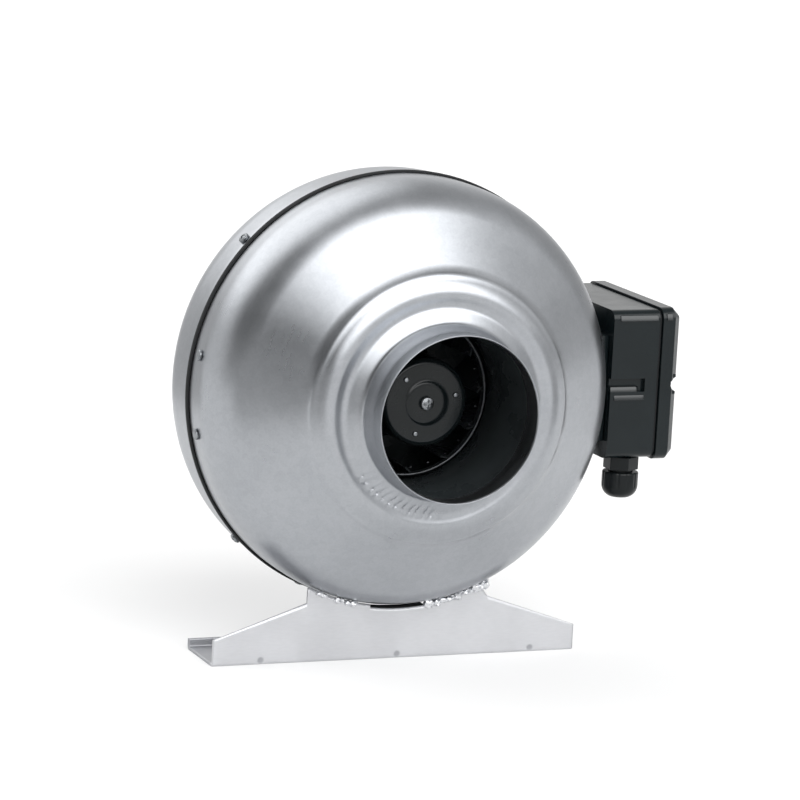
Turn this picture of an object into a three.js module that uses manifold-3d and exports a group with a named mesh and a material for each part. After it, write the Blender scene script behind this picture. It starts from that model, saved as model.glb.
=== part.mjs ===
// Inline duct fan: two pressed sheet-steel half shells on a folded foot, a backward-curved
// centrifugal impeller on an external-rotor motor inside them, and a plastic terminal box with a
// cable gland on one side.
//
// Millimetres, +Z up. The fan axis runs along Y at height AXIS_HEIGHT, with the inlet towards -Y.
// The seam between the half shells is the plane y = 0, and the underside of the foot is z = 0.

import * as THREE from 'three';
import { mergeVertices } from 'three/addons/utils/BufferGeometryUtils.js';
import Module from 'manifold-3d';

const wasm = await Module();
wasm.setup();

// ---- Driving dimensions -------------------------------------------------------------------

const GAP = 0.3;                       // between pieces that touch
const AXIS_HEIGHT = 159;

// Half shells, as radius and distance from the seam, both measured on the outer skin
const SHEET = 1;
const SPIGOT_RADIUS = 49;
const SPIGOT_END = 105;
const SPIGOT_ROOT = 92;
const SPIGOT_FOLD = [51.8, 82.9];
const SHELL_RADIUS = 127.6;
const SHOULDER_RADIUS = 42;
const SHOULDER_START = 15.5;
const CONE_ANGLE = THREE.MathUtils.degToRad(35.8);
const VALLEY = [76.8, 74.5];
const COLLAR_CREASE = [61.4, 77.3];
const REAR_EXTRA = 5.5;                // the rear shell's skirt is this much longer
const SEAM_GAP = 1.2;                  // from the seam plane to the edge of each shell
const LIP_RADIUS = 126.2;
const LIP_LENGTH = 15;
const GASKET_CAP = [127.9, 129.1];     // inner and outer radius of the gasket's cap
const SHELL_SEGMENTS = 40;

// Fasteners through the shells
const SCREW_ANGLES = [45, 137, 225, 247.5, 292.5, 315];
const SCREW_SETBACK = 9;
const SCREW_HEAD_RADIUS = 3.2;
const RIVET_ANGLES = [169.7, 190.3];
const RIVET_SETBACK = -13;

// Folded foot
const FOOT_HALF_LENGTH = 115;
const FOOT_FRONT = -26.8;
const FOOT_BACK = 17;
const FOOT_SHEET = 1.5;
const FOOT_END_HEIGHT = 15.8;
const EAR_HALF_WIDTH = 57.4;
const EAR_FOOT_HEIGHT = 35.6;
const EAR_TOP_HEIGHT = 44.9;
const SHORT_EAR = [53, 41.5];          // the trimmed corner of the ear on the box side
const SADDLE_NOTCH_HALF = 17.6;
const SADDLE_NOTCH_DEPTH = 2;
const BACK_FLANGE_HEIGHT = 6.5;
const FRONT_BEND = 2.2;
const BACK_BEND = 3;

// Impeller and inlet nozzle
const IMPELLER_RADIUS = 90;
const EYE_RADIUS = 48.6;
const EYE_FRONT = -27.4;
const BLADE_COUNT = 12;
const IMPELLER_SEGMENTS = 36;
const PLATE_SHEET = 1.2;
const BLADE_SHEET = 1;
const BLADE_TIP_RADIUS = 43.3;
const BACK_PLATE_FRONT = 20.2;
const NOZZLE_THROAT = 50.6;
const NOZZLE_FLANGE = 72;
const NOZZLE_FRONT = 72.4;
const NOZZLE_LENGTH = 32;

// External-rotor motor
const CAN_RADIUS = 26.3;
const CAN_FRONT = -52.2;
const CAN_SHEET = 1.4;
const BOSS_RADIUS = 12.5;
const BOSS_HEIGHT = 1.2;
const ROTOR_RIVET_RADIUS = 19;
const ROTOR_RIVET_ANGLES = [13, 133, 253];
const SHAFT_RADIUS = 4;
const BEARING_BORE = 4.12;
const TUBE_BORE = 7.3;
const TUBE_RADIUS = 9.2;
const FLANGE_RADIUS = 24;
const FLANGE_BACK = 31.5;
const MOTOR_SCREW_CIRCLE = 17;
const MOTOR_SCREW_ANGLES = [90, 210, 330];
const LEAD_EXIT = 12;                  // sideways and upwards from the axis

// Bracket that carries the motor
const BRACKET_SHEET = 1.5;
const BRACKET_HALF_WIDTH = 28;
const BRACKET_TAB = 121.9;
const BRACKET_LEG = 117;
const BRACKET_BACK = 33.3;

// Terminal box
const BOX_BACK = 129.4;
const BOX_FRONT = -28;
const BOX_DEPTH = 106.8;
const BOX_BOTTOM = 116.6;
const BOX_HEIGHT = 90.2;
const BOX_CORNER = 6;
const BOX_WALL = 2.4;
const BASE_WIDTH = 30.2;
const SEAL_WIDTH = 1.2;
const LID_WIDTH = 12.3;
const LID_PROUD = 1.2;
const LID_BEVEL = 4.5;
const LID_SCREW_INSET = 4.4;
const POCKET_MOUTH = 5.6;              // half-height of a screw pocket at the lid's face
const POCKET_SEAT = 3.6;               // its radius at the bottom
const POCKET_SLOT = 1.8;               // half-height at the bottom of its slot to the edge
const POCKET_FLOOR = 7;                // above the lid's edge
const RECESS_LENGTH = 22.5;
const RECESS_HEIGHT = 8;
const RECESS_DEPTH = 3;
const BOX_SCREW_RISES = [-22.7, 22.7]; // from the fan axis

// Cable gland, below the box, as heights from the box's underside
const GLAND_X = 145.7;
const GLAND_Y = -14.5;
const GLAND_HEX = 10.7;
const GLAND_HEX_HEIGHT = 8;
const GLAND_THREAD = 7.7;
const NUT_RADIUS = 11;
const NUT_TOP = -9.8;
const NUT_BOTTOM = -25.2;
const CABLE_HOLE = 3.4;

// Motor lead
const LEAD_RADIUS = 3;
const GROMMET_BORE = 3.7;
const LEAD_PORT_Y = 22.5;
const LEAD_PORT_RISE = 34;             // above the fan axis

// ---- Materials ----------------------------------------------------------------------------

function material(color, roughness, metalness) {
  return new THREE.MeshStandardMaterial({ color, roughness, metalness });
}

const galvanised = material(0xaab0b4, 0.42, 0.9);
const footSteel = material(0xcdcfd4, 0.5, 0.8);
const zincScrew = material(0x8b9094, 0.4, 0.95);
const brightSteel = material(0xc4c8cb, 0.25, 1);
const blackPaint = material(0x22282b, 0.5, 0.3);
const blackPlastic = material(0x2a3033, 0.45, 0);
const rubber = material(0x1b1f21, 0.8, 0);
const lamination = material(0x6a6f73, 0.6, 0.8);
const copper = material(0x9a5a32, 0.4, 0.9);
const whiteCan = material(0xd6d3c8, 0.5, 0);
const terminalNylon = material(0xdcdad2, 0.5, 0);

// ---- Shape helpers ------------------------------------------------------------------------

const vec = (x, y) => new THREE.Vector2(x, y);

// Shift a polyline sideways by a distance, to the left of its direction, with mitred corners.
function shifted(points, distance) {
  const normals = points.slice(1).map((point, i) => {
    const along = point.clone().sub(points[i]).normalize();
    return vec(-along.y, along.x);
  });
  return points.map((point, i) => {
    const before = normals[Math.max(i - 1, 0)];
    const after = normals[Math.min(i, normals.length - 1)];
    const mitre = before.clone().add(after).normalize();
    return point.clone().addScaledVector(mitre, distance / mitre.dot(after));
  });
}

// The outline of a bent sheet: its outer skin, then its inner skin on the way back.
function sheetOutline(points, thickness) {
  return [...points, ...shifted(points, thickness).reverse()];
}

// Make every triangle of a closed mesh face outwards, and drop the ones with no area.
function closedGeometry(geometry) {
  geometry.deleteAttribute('normal');
  geometry.deleteAttribute('uv');
  const merged = mergeVertices(geometry, 1e-4);
  const position = merged.getAttribute('position');
  const corner = (i) => new THREE.Vector3().fromBufferAttribute(position, i);
  const kept = [];
  let volume = 0;
  for (let i = 0; i < merged.index.count; i += 3) {
    const [a, b, c] = [0, 1, 2].map((k) => merged.index.getX(i + k));
    if (a !== b && b !== c && c !== a) {
      kept.push([a, b, c]);
      volume += corner(a).dot(corner(b).cross(corner(c)));
    }
  }
  const faces = volume < 0 ? kept.map(([a, b, c]) => [a, c, b]) : kept;
  merged.setIndex(faces.flat());
  return merged;
}

function toSolid(geometry) {
  const closed = closedGeometry(geometry);
  const vertProperties = new Float32Array(closed.getAttribute('position').array);
  const triVerts = new Uint32Array(closed.index.array);
  return new wasm.Manifold(new wasm.Mesh({ numProp: 3, vertProperties, triVerts }));
}

function toGeometry(solid) {
  const { vertProperties, triVerts } = solid.getMesh();
  const geometry = new THREE.BufferGeometry();
  geometry.setAttribute('position', new THREE.BufferAttribute(vertProperties, 3));
  geometry.setIndex(new THREE.BufferAttribute(triVerts, 1));
  return geometry;
}

// Cut some geometries from another one.
function cut(geometry, tools) {
  const solid = tools.reduce((rest, tool) => rest.subtract(toSolid(tool)), toSolid(geometry));
  return toGeometry(solid);
}

function join(geometries) {
  return toGeometry(geometries.map(toSolid).reduce((whole, piece) => whole.add(piece)));
}

// Turn a closed outline of [radius, distance] points about the Y axis.
function turned(outline, segments = 24) {
  const points = outline.map((p) => (p.isVector2 ? p : vec(p[0], p[1])));
  return closedGeometry(new THREE.LatheGeometry([...points, points[0]], segments));
}

// A plain ring about the Y axis.
function ring(inner, outer, start, end, segments = 24) {
  return turned([[inner, start], [outer, start], [outer, end], [inner, end]], segments);
}

// A plain rod about the Y axis.
function rod(radius, start, end, segments = 12) {
  return new THREE.CylinderGeometry(radius, radius, end - start, segments)
    .translate(0, (start + end) / 2, 0);
}

function block(from, to) {
  const size = to.map((value, i) => value - from[i]);
  return new THREE.BoxGeometry(...size)
    .translate(...from.map((value, i) => value + size[i] / 2));
}

// Point the Y axis of a geometry along +X or +Z.
const alongX = (geometry) => geometry.rotateZ(-Math.PI / 2);
const alongZ = (geometry) => geometry.rotateX(Math.PI / 2);

// Point the Y axis of a geometry outwards from the fan axis, at an angle from +X towards +Z.
function outward(geometry, degrees) {
  return alongX(geometry).rotateY(-THREE.MathUtils.degToRad(degrees));
}

// Extrude an outline drawn in Y and Z along X, or one drawn in X and Y along Z.
function extrudeX(outline, start, end, options = {}) {
  const axes = new THREE.Matrix4().makeBasis(
    new THREE.Vector3(0, 1, 0), new THREE.Vector3(0, 0, 1), new THREE.Vector3(1, 0, 0));
  return extrudeZ(outline, start, end, options).applyMatrix4(axes);
}

function extrudeZ(outline, start, end, options = {}) {
  const shape = outline instanceof THREE.Shape ? outline : new THREE.Shape(outline);
  const settings = { depth: end - start, bevelEnabled: false, curveSegments: 4, ...options };
  return new THREE.ExtrudeGeometry(shape, settings).translate(0, 0, start);
}

// Extrude an outline drawn in X and Z along Y.
function extrudeY(outline, start, end) {
  return extrudeZ(outline, -end, -start).rotateX(Math.PI / 2);
}

// A rectangle with round corners, from one corner to the opposite one.
function roundedRectangle(x0, y0, x1, y1, radius) {
  const shape = new THREE.Shape();
  shape.moveTo(x0 + radius, y0);
  shape.absarc(x1 - radius, y0 + radius, radius, -Math.PI / 2, 0);
  shape.absarc(x1 - radius, y1 - radius, radius, 0, Math.PI / 2);
  shape.absarc(x0 + radius, y1 - radius, radius, Math.PI / 2, Math.PI);
  shape.absarc(x0 + radius, y0 + radius, radius, Math.PI, Math.PI * 1.5);
  return shape;
}

// ---- Scene graph --------------------------------------------------------------------------

const fan = new THREE.Group();
const axisGroup = new THREE.Group();   // everything placed from the fan axis
axisGroup.position.z = AXIS_HEIGHT;
fan.add(axisGroup);

function addPiece(parent, name, geometry, surface) {
  const mesh = new THREE.Mesh(geometry, surface);
  mesh.name = name;
  parent.add(mesh);
  return mesh;
}

// ---- Casing -------------------------------------------------------------------------------

// The outer skin of a half shell, from the spigot's rim to the start of the straight skirt, as
// radius and distance from the seam. Extra lengthens the skirt, so it moves the rest outwards.
function shellSkin(extra) {
  const centre = [SHELL_RADIUS - SHOULDER_RADIUS, SHOULDER_START];
  const coneNormal = Math.PI / 2 - CONE_ANGLE;
  const skin = new THREE.Path();
  skin.moveTo(SPIGOT_RADIUS, SPIGOT_END);
  skin.lineTo(SPIGOT_RADIUS, SPIGOT_ROOT);
  skin.lineTo(SPIGOT_FOLD[0] - 0.6, SPIGOT_FOLD[1] + 2);
  skin.quadraticCurveTo(...SPIGOT_FOLD, SPIGOT_FOLD[0] + 2.2, SPIGOT_FOLD[1] - 1.3);
  skin.lineTo(...COLLAR_CREASE);
  skin.quadraticCurveTo(COLLAR_CREASE[0] + 9, COLLAR_CREASE[1] + 2.7, ...VALLEY);
  skin.lineTo(VALLEY[0] + 3.7, VALLEY[1] - 3.4);
  skin.absarc(centre[0], centre[1], SHOULDER_RADIUS, coneNormal, 0, true);
  return skin.getPoints(3).map((p) => vec(p.x, p.y + extra));
}

// Screws through the rear shell and the front shell's lip, all the way round the seam.
function shellScrewHoles() {
  return SCREW_ANGLES.map((angle) => {
    return outward(rod(1.9, 120, 132), angle).translate(0, SCREW_SETBACK, 0);
  });
}

function rivetHoles() {
  return RIVET_ANGLES.map((angle) => {
    return outward(rod(2, 112, 132), angle).translate(0, RIVET_SETBACK, 0);
  });
}

// Holes for the two screws that hold the box, the casing and the motor bracket together.
function boxScrewHoles() {
  return BOX_SCREW_RISES.map((rise) => {
    return alongX(rod(2.2, 112, 136)).translate(0, RIVET_SETBACK, rise);
  });
}

function frontShell() {
  const skirt = [[SHELL_RADIUS, 2.2], [LIP_RADIUS, SEAM_GAP], [LIP_RADIUS, -LIP_LENGTH]];
  const skin = [...shellSkin(0), ...skirt.map(([r, d]) => vec(r, d))].map((p) => vec(p.x, -p.y));
  const outline = sheetOutline(skin, SHEET);
  const holes = [...shellScrewHoles(), ...rivetHoles(), ...boxScrewHoles()];
  return cut(turned(outline, SHELL_SEGMENTS), holes);
}

function leadPort(radius) {
  return alongX(rod(radius, 112, 136, 16)).translate(0, LEAD_PORT_Y, LEAD_PORT_RISE);
}

function rearShell() {
  const skin = [...shellSkin(REAR_EXTRA), vec(SHELL_RADIUS, SEAM_GAP)];
  const outline = sheetOutline(skin, -SHEET);
  return cut(turned(outline, SHELL_SEGMENTS), [...shellScrewHoles(), leadPort(6.8)]);
}

function casingScrew() {
  const head = [[0, 130.6], [1.6, 130.4], [SCREW_HEAD_RADIUS, 128.9], [SCREW_HEAD_RADIUS, 127.95]];
  return turned([...head, [1.5, 127.95], [1.5, 120.5], [0, 119]], 12);
}

function bracketRivet() {
  const head = [[0, 130], [1.8, 129.7], [3.3, 128.4], [3.3, 127.95], [1.6, 127.95]];
  const tail = [[1.6, 121.6], [2.5, 121.6], [2.5, 119.2], [0, 118.8]];
  return turned([...head, ...tail], 12);
}

// A T-section rubber ring: its stem stands in the seam and its cap covers both edges.
function seamGasket() {
  const stem = SEAM_GAP - GAP;
  const [capInner, capOuter] = GASKET_CAP;
  return turned([
    [LIP_RADIUS + GAP, -stem], [capInner, -stem], [capInner, -2.4], [capOuter, -2],
    [capOuter, 1.4], [capInner, 1.8], [capInner, stem], [LIP_RADIUS + GAP, stem],
  ], SHELL_SEGMENTS);
}

addPiece(axisGroup, 'front_shell', frontShell(), galvanised);
addPiece(axisGroup, 'rear_shell', rearShell(), galvanised);
addPiece(axisGroup, 'seam_gasket', seamGasket(), rubber);
SCREW_ANGLES.forEach((angle, i) => {
  const screw = outward(casingScrew(), angle).translate(0, SCREW_SETBACK, 0);
  addPiece(axisGroup, `casing_screw_${i + 1}`, screw, zincScrew);
});
RIVET_ANGLES.forEach((angle, i) => {
  const rivet = outward(bracketRivet(), angle).translate(0, RIVET_SETBACK, 0);
  addPiece(axisGroup, `bracket_rivet_${i + 1}`, rivet, zincScrew);
});

// The nozzle flares from the valley in the front shell down to a throat round the impeller eye.
function inletNozzle() {
  const flare = [vec(VALLEY[0] + 0.4, -NOZZLE_FRONT)];
  for (let step = 0; step <= 4; step++) {
    const turn = (step / 4) * Math.PI / 2;
    const radius = NOZZLE_FLANGE - (NOZZLE_FLANGE - NOZZLE_THROAT) * Math.sin(turn);
    flare.push(vec(radius, NOZZLE_LENGTH * (1 - Math.cos(turn)) - NOZZLE_FRONT));
  }
  flare.push(vec(NOZZLE_THROAT, -24));
  return turned(sheetOutline(flare, -SHEET), SHELL_SEGMENTS);
}

addPiece(axisGroup, 'inlet_nozzle', inletNozzle(), blackPaint);

// ---- Foot ---------------------------------------------------------------------------------

function footChannel() {
  const section = new THREE.Path();
  section.moveTo(FOOT_FRONT, FOOT_END_HEIGHT);
  section.lineTo(FOOT_FRONT, FRONT_BEND);
  section.quadraticCurveTo(FOOT_FRONT, 0, FOOT_FRONT + FRONT_BEND, 0);
  section.lineTo(FOOT_BACK - BACK_BEND, 0);
  section.quadraticCurveTo(FOOT_BACK, 0, FOOT_BACK, BACK_BEND);
  section.lineTo(FOOT_BACK, BACK_FLANGE_HEIGHT);
  const outline = sheetOutline(section.getPoints(4), FOOT_SHEET);
  return extrudeX(outline, -FOOT_HALF_LENGTH, FOOT_HALF_LENGTH);
}

// The tall front plate rises to two ears and is cut out to sit round the front shell's skirt.
function footPlate() {
  const rise = EAR_TOP_HEIGHT - AXIS_HEIGHT;
  const saddle = SHELL_RADIUS - 0.75;
  const earInner = Math.sqrt(saddle ** 2 - rise ** 2);
  const angleAt = (x) => Math.atan2(-Math.sqrt(saddle ** 2 - x ** 2), x);
  const notchHeight = AXIS_HEIGHT - saddle - SADDLE_NOTCH_DEPTH;
  const shape = new THREE.Shape();
  shape.moveTo(-FOOT_HALF_LENGTH, 4);
  shape.lineTo(FOOT_HALF_LENGTH, 4);
  shape.lineTo(FOOT_HALF_LENGTH, FOOT_END_HEIGHT);
  shape.lineTo(EAR_HALF_WIDTH, EAR_FOOT_HEIGHT);
  shape.lineTo(...SHORT_EAR);
  shape.absarc(0, AXIS_HEIGHT, saddle, angleAt(SHORT_EAR[0] - 1), angleAt(SADDLE_NOTCH_HALF), true);
  shape.lineTo(SADDLE_NOTCH_HALF, notchHeight);
  shape.lineTo(-SADDLE_NOTCH_HALF, notchHeight);
  shape.absarc(0, AXIS_HEIGHT, saddle, angleAt(-SADDLE_NOTCH_HALF), angleAt(-earInner), true);
  shape.lineTo(-EAR_HALF_WIDTH, EAR_TOP_HEIGHT);
  shape.lineTo(-EAR_HALF_WIDTH, EAR_FOOT_HEIGHT);
  shape.lineTo(-FOOT_HALF_LENGTH, FOOT_END_HEIGHT);
  return extrudeY(shape, FOOT_FRONT, FOOT_FRONT + FOOT_SHEET);
}

addPiece(fan, 'foot_bracket', join([footChannel(), footPlate()]), footSteel);

// ---- Motor bracket and stationary half of the motor -----------------------------------------

// Copies of a rod-like geometry about the fan axis, on a circle.
function onCircle(makeGeometry, circle, angles) {
  return angles.map((angle) => {
    const turn = THREE.MathUtils.degToRad(angle);
    return makeGeometry().translate(circle * Math.cos(turn), 0, circle * Math.sin(turn));
  });
}

function leadHole() {
  return rod(3.8, 20, 40).translate(LEAD_EXIT, 0, LEAD_EXIT);
}

function motorBracket() {
  const path = [
    [-BRACKET_TAB, -24], [-BRACKET_TAB, -10], [-BRACKET_LEG, 8], [-BRACKET_LEG, BRACKET_BACK],
    [BRACKET_LEG, BRACKET_BACK], [BRACKET_LEG, 8], [BRACKET_TAB, -10], [BRACKET_TAB, -24],
  ].map(([x, y]) => vec(x, y));
  const outline = sheetOutline(path, -BRACKET_SHEET);
  const strap = extrudeZ(outline, -BRACKET_HALF_WIDTH, BRACKET_HALF_WIDTH);
  const screwHoles = onCircle(() => rod(2.2, 30, 36), MOTOR_SCREW_CIRCLE, MOTOR_SCREW_ANGLES);
  const shaftHole = rod(9, 30, 36, 16);
  return cut(strap, [...screwHoles, ...rivetHoles(), ...boxScrewHoles(), leadHole(), shaftHole]);
}

function motorFlange() {
  const outline = [
    [TUBE_BORE, -36], [TUBE_RADIUS, -36], [TUBE_RADIUS, 27.5],
    [FLANGE_RADIUS, 27.5], [FLANGE_RADIUS, FLANGE_BACK], [TUBE_BORE, FLANGE_BACK],
  ];
  const screwHoles = onCircle(() => rod(2, 26, 34), MOTOR_SCREW_CIRCLE, MOTOR_SCREW_ANGLES);
  return cut(turned(outline), [...screwHoles, leadHole()]);
}

function motorScrew() {
  const head = [[0, 36.2], [2.4, 36], [3.4, 35.2], [3.4, BRACKET_BACK + GAP]];
  return turned([...head, [1.8, BRACKET_BACK + GAP], [1.8, 28.5], [0, 28.5]], 12);
}

// Laminated core with a T-shaped tooth for each winding slot.
function statorCore() {
  const teeth = 12;
  const pitch = (2 * Math.PI) / teeth;
  const outline = [];
  for (let tooth = 0; tooth < teeth; tooth++) {
    const middle = tooth * pitch;
    [[12.5, 0.26], [20.5, 0.16], [21.5, 0.42], [23.3, 0.42]].forEach(([r, half]) => {
      outline.push(vec(r * Math.cos(middle - half * pitch), r * Math.sin(middle - half * pitch)));
    });
    [[23.3, 0.42], [21.5, 0.42], [20.5, 0.16], [12.5, 0.26]].forEach(([r, half]) => {
      outline.push(vec(r * Math.cos(middle + half * pitch), r * Math.sin(middle + half * pitch)));
    });
  }
  return cut(extrudeY(outline, -30, 9), [rod(TUBE_RADIUS + GAP, -32, 11, 24)]);
}

function windingEnd(start, end) {
  const soft = 1.5;
  return turned([
    [11, start + soft], [11 + soft, start], [20.5 - soft, start], [20.5, start + soft],
    [20.5, end - soft], [20.5 - soft, end], [11 + soft, end], [11, end - soft],
  ]);
}

addPiece(axisGroup, 'motor_bracket', motorBracket(), galvanised);
addPiece(axisGroup, 'motor_flange', motorFlange(), brightSteel);
addPiece(axisGroup, 'stator_core', statorCore(), lamination);
addPiece(axisGroup, 'front_winding', windingEnd(-38, -30.3), copper);
addPiece(axisGroup, 'rear_winding', windingEnd(9.3, 17), copper);
const frontBearing = ring(BEARING_BORE, TUBE_BORE - GAP, -34.5, -29.5);
const rearBearing = ring(BEARING_BORE, TUBE_BORE - GAP, 19, 24);
addPiece(axisGroup, 'front_bearing', frontBearing, brightSteel);
addPiece(axisGroup, 'rear_bearing', rearBearing, brightSteel);
onCircle(motorScrew, MOTOR_SCREW_CIRCLE, MOTOR_SCREW_ANGLES).forEach((screw, i) => {
  addPiece(axisGroup, `motor_screw_${i + 1}`, screw, zincScrew);
});

// ---- Rotor: can, shaft and impeller -----------------------------------------------------------

function rotorCan() {
  const bend = 3.8;
  const skin = new THREE.Path();
  skin.moveTo(2.4, CAN_FRONT - BOSS_HEIGHT);
  skin.lineTo(BOSS_RADIUS - 1.2, CAN_FRONT - BOSS_HEIGHT);
  skin.lineTo(BOSS_RADIUS, CAN_FRONT);
  skin.lineTo(CAN_RADIUS - bend, CAN_FRONT);
  skin.absarc(CAN_RADIUS - bend, CAN_FRONT + bend, bend, -Math.PI / 2, 0);
  skin.lineTo(CAN_RADIUS, BACK_PLATE_FRONT - GAP - CAN_SHEET);
  skin.lineTo(34, BACK_PLATE_FRONT - GAP - CAN_SHEET);
  const can = turned(sheetOutline(skin.getPoints(2), CAN_SHEET), 24);
  return cut(can, onCircle(() => rod(1.4, -56, -46), ROTOR_RIVET_RADIUS, ROTOR_RIVET_ANGLES));
}

function rotorHub() {
  const bore = SHAFT_RADIUS + GAP;
  const hub = turned([[bore, -50.5], [22, -50.5], [22, -49], [9, -49], [9, -39], [bore, -39]], 24);
  return cut(hub, onCircle(() => rod(1.4, -56, -46), ROTOR_RIVET_RADIUS, ROTOR_RIVET_ANGLES));
}

function rotorRivet() {
  const head = [[0, -53.6], [1.2, -53.3], [1.8, -52.5], [1.1, -52.5]];
  return turned([...head, [1.1, -48.7], [1.9, -48.7], [1.9, -47.6], [0, -47.6]], 12);
}

function hubScrew() {
  const seat = CAN_FRONT - BOSS_HEIGHT - GAP;
  const head = [[0, seat - 2.6], [2.6, seat - 2.4], [4, seat - 1.2], [4, seat]];
  return turned([...head, [1.9, seat], [1.9, -44], [0, -43.4]], 12);
}

function motorShaft() {
  const screwBore = [[2.2, -51.4], [2.2, -42], [0, -42]];
  return turned([[0, 26], [SHAFT_RADIUS, 26], [SHAFT_RADIUS, -51.4], ...screwBore], 24);
}

// The front skin of the front plate, from its eye collar out to its rim.
function shroudSkin() {
  const skin = new THREE.Path();
  skin.moveTo(EYE_RADIUS, EYE_FRONT);
  skin.lineTo(EYE_RADIUS, EYE_FRONT + 4.4);
  skin.quadraticCurveTo(EYE_RADIUS + 1, -16, 60, -14.5);
  skin.lineTo(IMPELLER_RADIUS, -7);
  return skin.getPoints(3);
}

// One blade, leaning back from the direction of rotation, trimmed to the space between the plates.
function impellerBlade() {
  const inner = BLADE_TIP_RADIUS + 0.6;
  const lean = THREE.MathUtils.degToRad(34);
  const line = [];
  for (let step = 0; step <= 6; step++) {
    const part = step / 6;
    const radius = inner + part * (IMPELLER_RADIUS - 1 - inner);
    const turn = lean * Math.pow(part, 0.8);
    line.push(vec(radius * Math.cos(turn), radius * Math.sin(turn)));
  }
  const blade = extrudeY(sheetOutline(line, BLADE_SHEET), EYE_FRONT + 1, BACK_PLATE_FRONT - GAP);
  const roof = shifted(shroudSkin(), PLATE_SHEET + GAP);
  const beyond = IMPELLER_RADIUS + 9;
  const ahead = [...roof, vec(beyond, roof.at(-1).y), vec(beyond, -40), vec(roof[0].x, -40)];
  return cut(blade, [turned(ahead, IMPELLER_SEGMENTS)]);
}

addPiece(axisGroup, 'rotor_can', rotorCan(), blackPaint);
addPiece(axisGroup, 'rotor_hub', rotorHub(), brightSteel);
addPiece(axisGroup, 'motor_shaft', motorShaft(), brightSteel);
addPiece(axisGroup, 'hub_screw', hubScrew(), brightSteel);
onCircle(rotorRivet, ROTOR_RIVET_RADIUS, ROTOR_RIVET_ANGLES).forEach((rivet, i) => {
  addPiece(axisGroup, `rotor_rivet_${i + 1}`, rivet, zincScrew);
});

const plateBack = BACK_PLATE_FRONT + PLATE_SHEET;
const backPlate = ring(
  CAN_RADIUS + 0.7, IMPELLER_RADIUS, BACK_PLATE_FRONT, plateBack, IMPELLER_SEGMENTS);
const frontPlate = turned(sheetOutline(shroudSkin(), PLATE_SHEET), IMPELLER_SEGMENTS);
addPiece(axisGroup, 'impeller_back_plate', backPlate, blackPaint);
addPiece(axisGroup, 'impeller_front_plate', frontPlate, blackPaint);
const blade = impellerBlade();
for (let i = 0; i < BLADE_COUNT; i++) {
  const mesh = addPiece(axisGroup, `impeller_blade_${i + 1}`, blade.clone(), blackPaint);
  mesh.rotation.y = (i * 2 * Math.PI) / BLADE_COUNT;
}

// ---- Terminal box -------------------------------------------------------------------------

const boxTop = BOX_BOTTOM + BOX_HEIGHT;
const boxRear = BOX_FRONT + BOX_DEPTH;
const boxMiddle = BOX_BOTTOM + BOX_HEIGHT / 2;
const baseEnd = BOX_BACK + BASE_WIDTH;
const sealStart = baseEnd + GAP;
const lidStart = sealStart + SEAL_WIDTH + GAP;
const lidEnd = lidStart + LID_WIDTH;
const lidScrewPlaces = [BOX_FRONT + LID_SCREW_INSET, boxRear - LID_SCREW_INSET];

// The box's outline in Y and Z, drawn in by a distance.
function boxOutline(inset) {
  const corner = Math.max(BOX_CORNER - inset, 1.5);
  return roundedRectangle(
    BOX_FRONT + inset, BOX_BOTTOM + inset, boxRear - inset, boxTop - inset, corner);
}

// Posts inside the front and rear walls that the lid screws bite into.
function screwPosts(start, end) {
  const reach = LID_SCREW_INSET + 5.6;
  const size = 6;
  return [
    block([start, BOX_FRONT + 1, boxMiddle - size], [end, BOX_FRONT + reach, boxMiddle + size]),
    block([start, boxRear - reach, boxMiddle - size], [end, boxRear - 1, boxMiddle + size]),
  ];
}

function lidScrewHoles(radius) {
  const deepest = BOX_BACK + RECESS_LENGTH + 1;
  return lidScrewPlaces.map((y) => {
    return alongX(rod(radius, deepest, lidEnd + 1)).translate(0, y, boxMiddle);
  });
}

function boxBase() {
  const tub = cut(extrudeX(boxOutline(0), BOX_BACK, baseEnd), [
    extrudeX(boxOutline(BOX_WALL), BOX_BACK + BOX_WALL, baseEnd + 1),
  ]);
  const recessLow = boxMiddle - RECESS_HEIGHT / 2;
  const recess = block(
    [BOX_BACK - 1, BOX_FRONT - 1, recessLow],
    [BOX_BACK + RECESS_LENGTH, BOX_FRONT + RECESS_DEPTH, recessLow + RECESS_HEIGHT]);
  const axisHoles = [...boxScrewHoles(), leadPort(6.8)];
  axisHoles.forEach((hole) => hole.translate(0, 0, AXIS_HEIGHT));
  const glandHole = alongZ(rod(GLAND_THREAD + GAP, BOX_BOTTOM - 1, BOX_BOTTOM + BOX_WALL + 1, 24));
  return cut(join([tub, ...screwPosts(BOX_BACK + 1, baseEnd)]), [
    recess, ...lidScrewHoles(1.9), ...axisHoles, glandHole.translate(GLAND_X, GLAND_Y, 0),
  ]);
}

function lidSeal() {
  const outline = boxOutline(0.8);
  outline.holes.push(boxOutline(BOX_WALL + 0.2));
  const seal = extrudeX(outline, sealStart, sealStart + SEAL_WIDTH);
  return cut(join([seal, ...screwPosts(sealStart, sealStart + SEAL_WIDTH)]), lidScrewHoles(1.9));
}

// A cone round each lid screw, open to the nearest edge through a slot with slanted sides.
function lidPocket(y) {
  const floor = lidStart + POCKET_FLOOR;
  const mouth = lidEnd + 1;
  const cone = turned([[0, floor], [POCKET_SEAT, floor], [POCKET_MOUTH, mouth], [0, mouth]], 20);
  const slot = extrudeY([
    vec(floor, -POCKET_SLOT), vec(mouth, -POCKET_MOUTH),
    vec(mouth, POCKET_MOUTH), vec(floor, POCKET_SLOT),
  ], 0, 12);
  const outwards = y < 0 ? slot.translate(0, y - 12, boxMiddle) : slot.translate(0, y, boxMiddle);
  return [alongX(cone).translate(0, y, boxMiddle), outwards];
}

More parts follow.
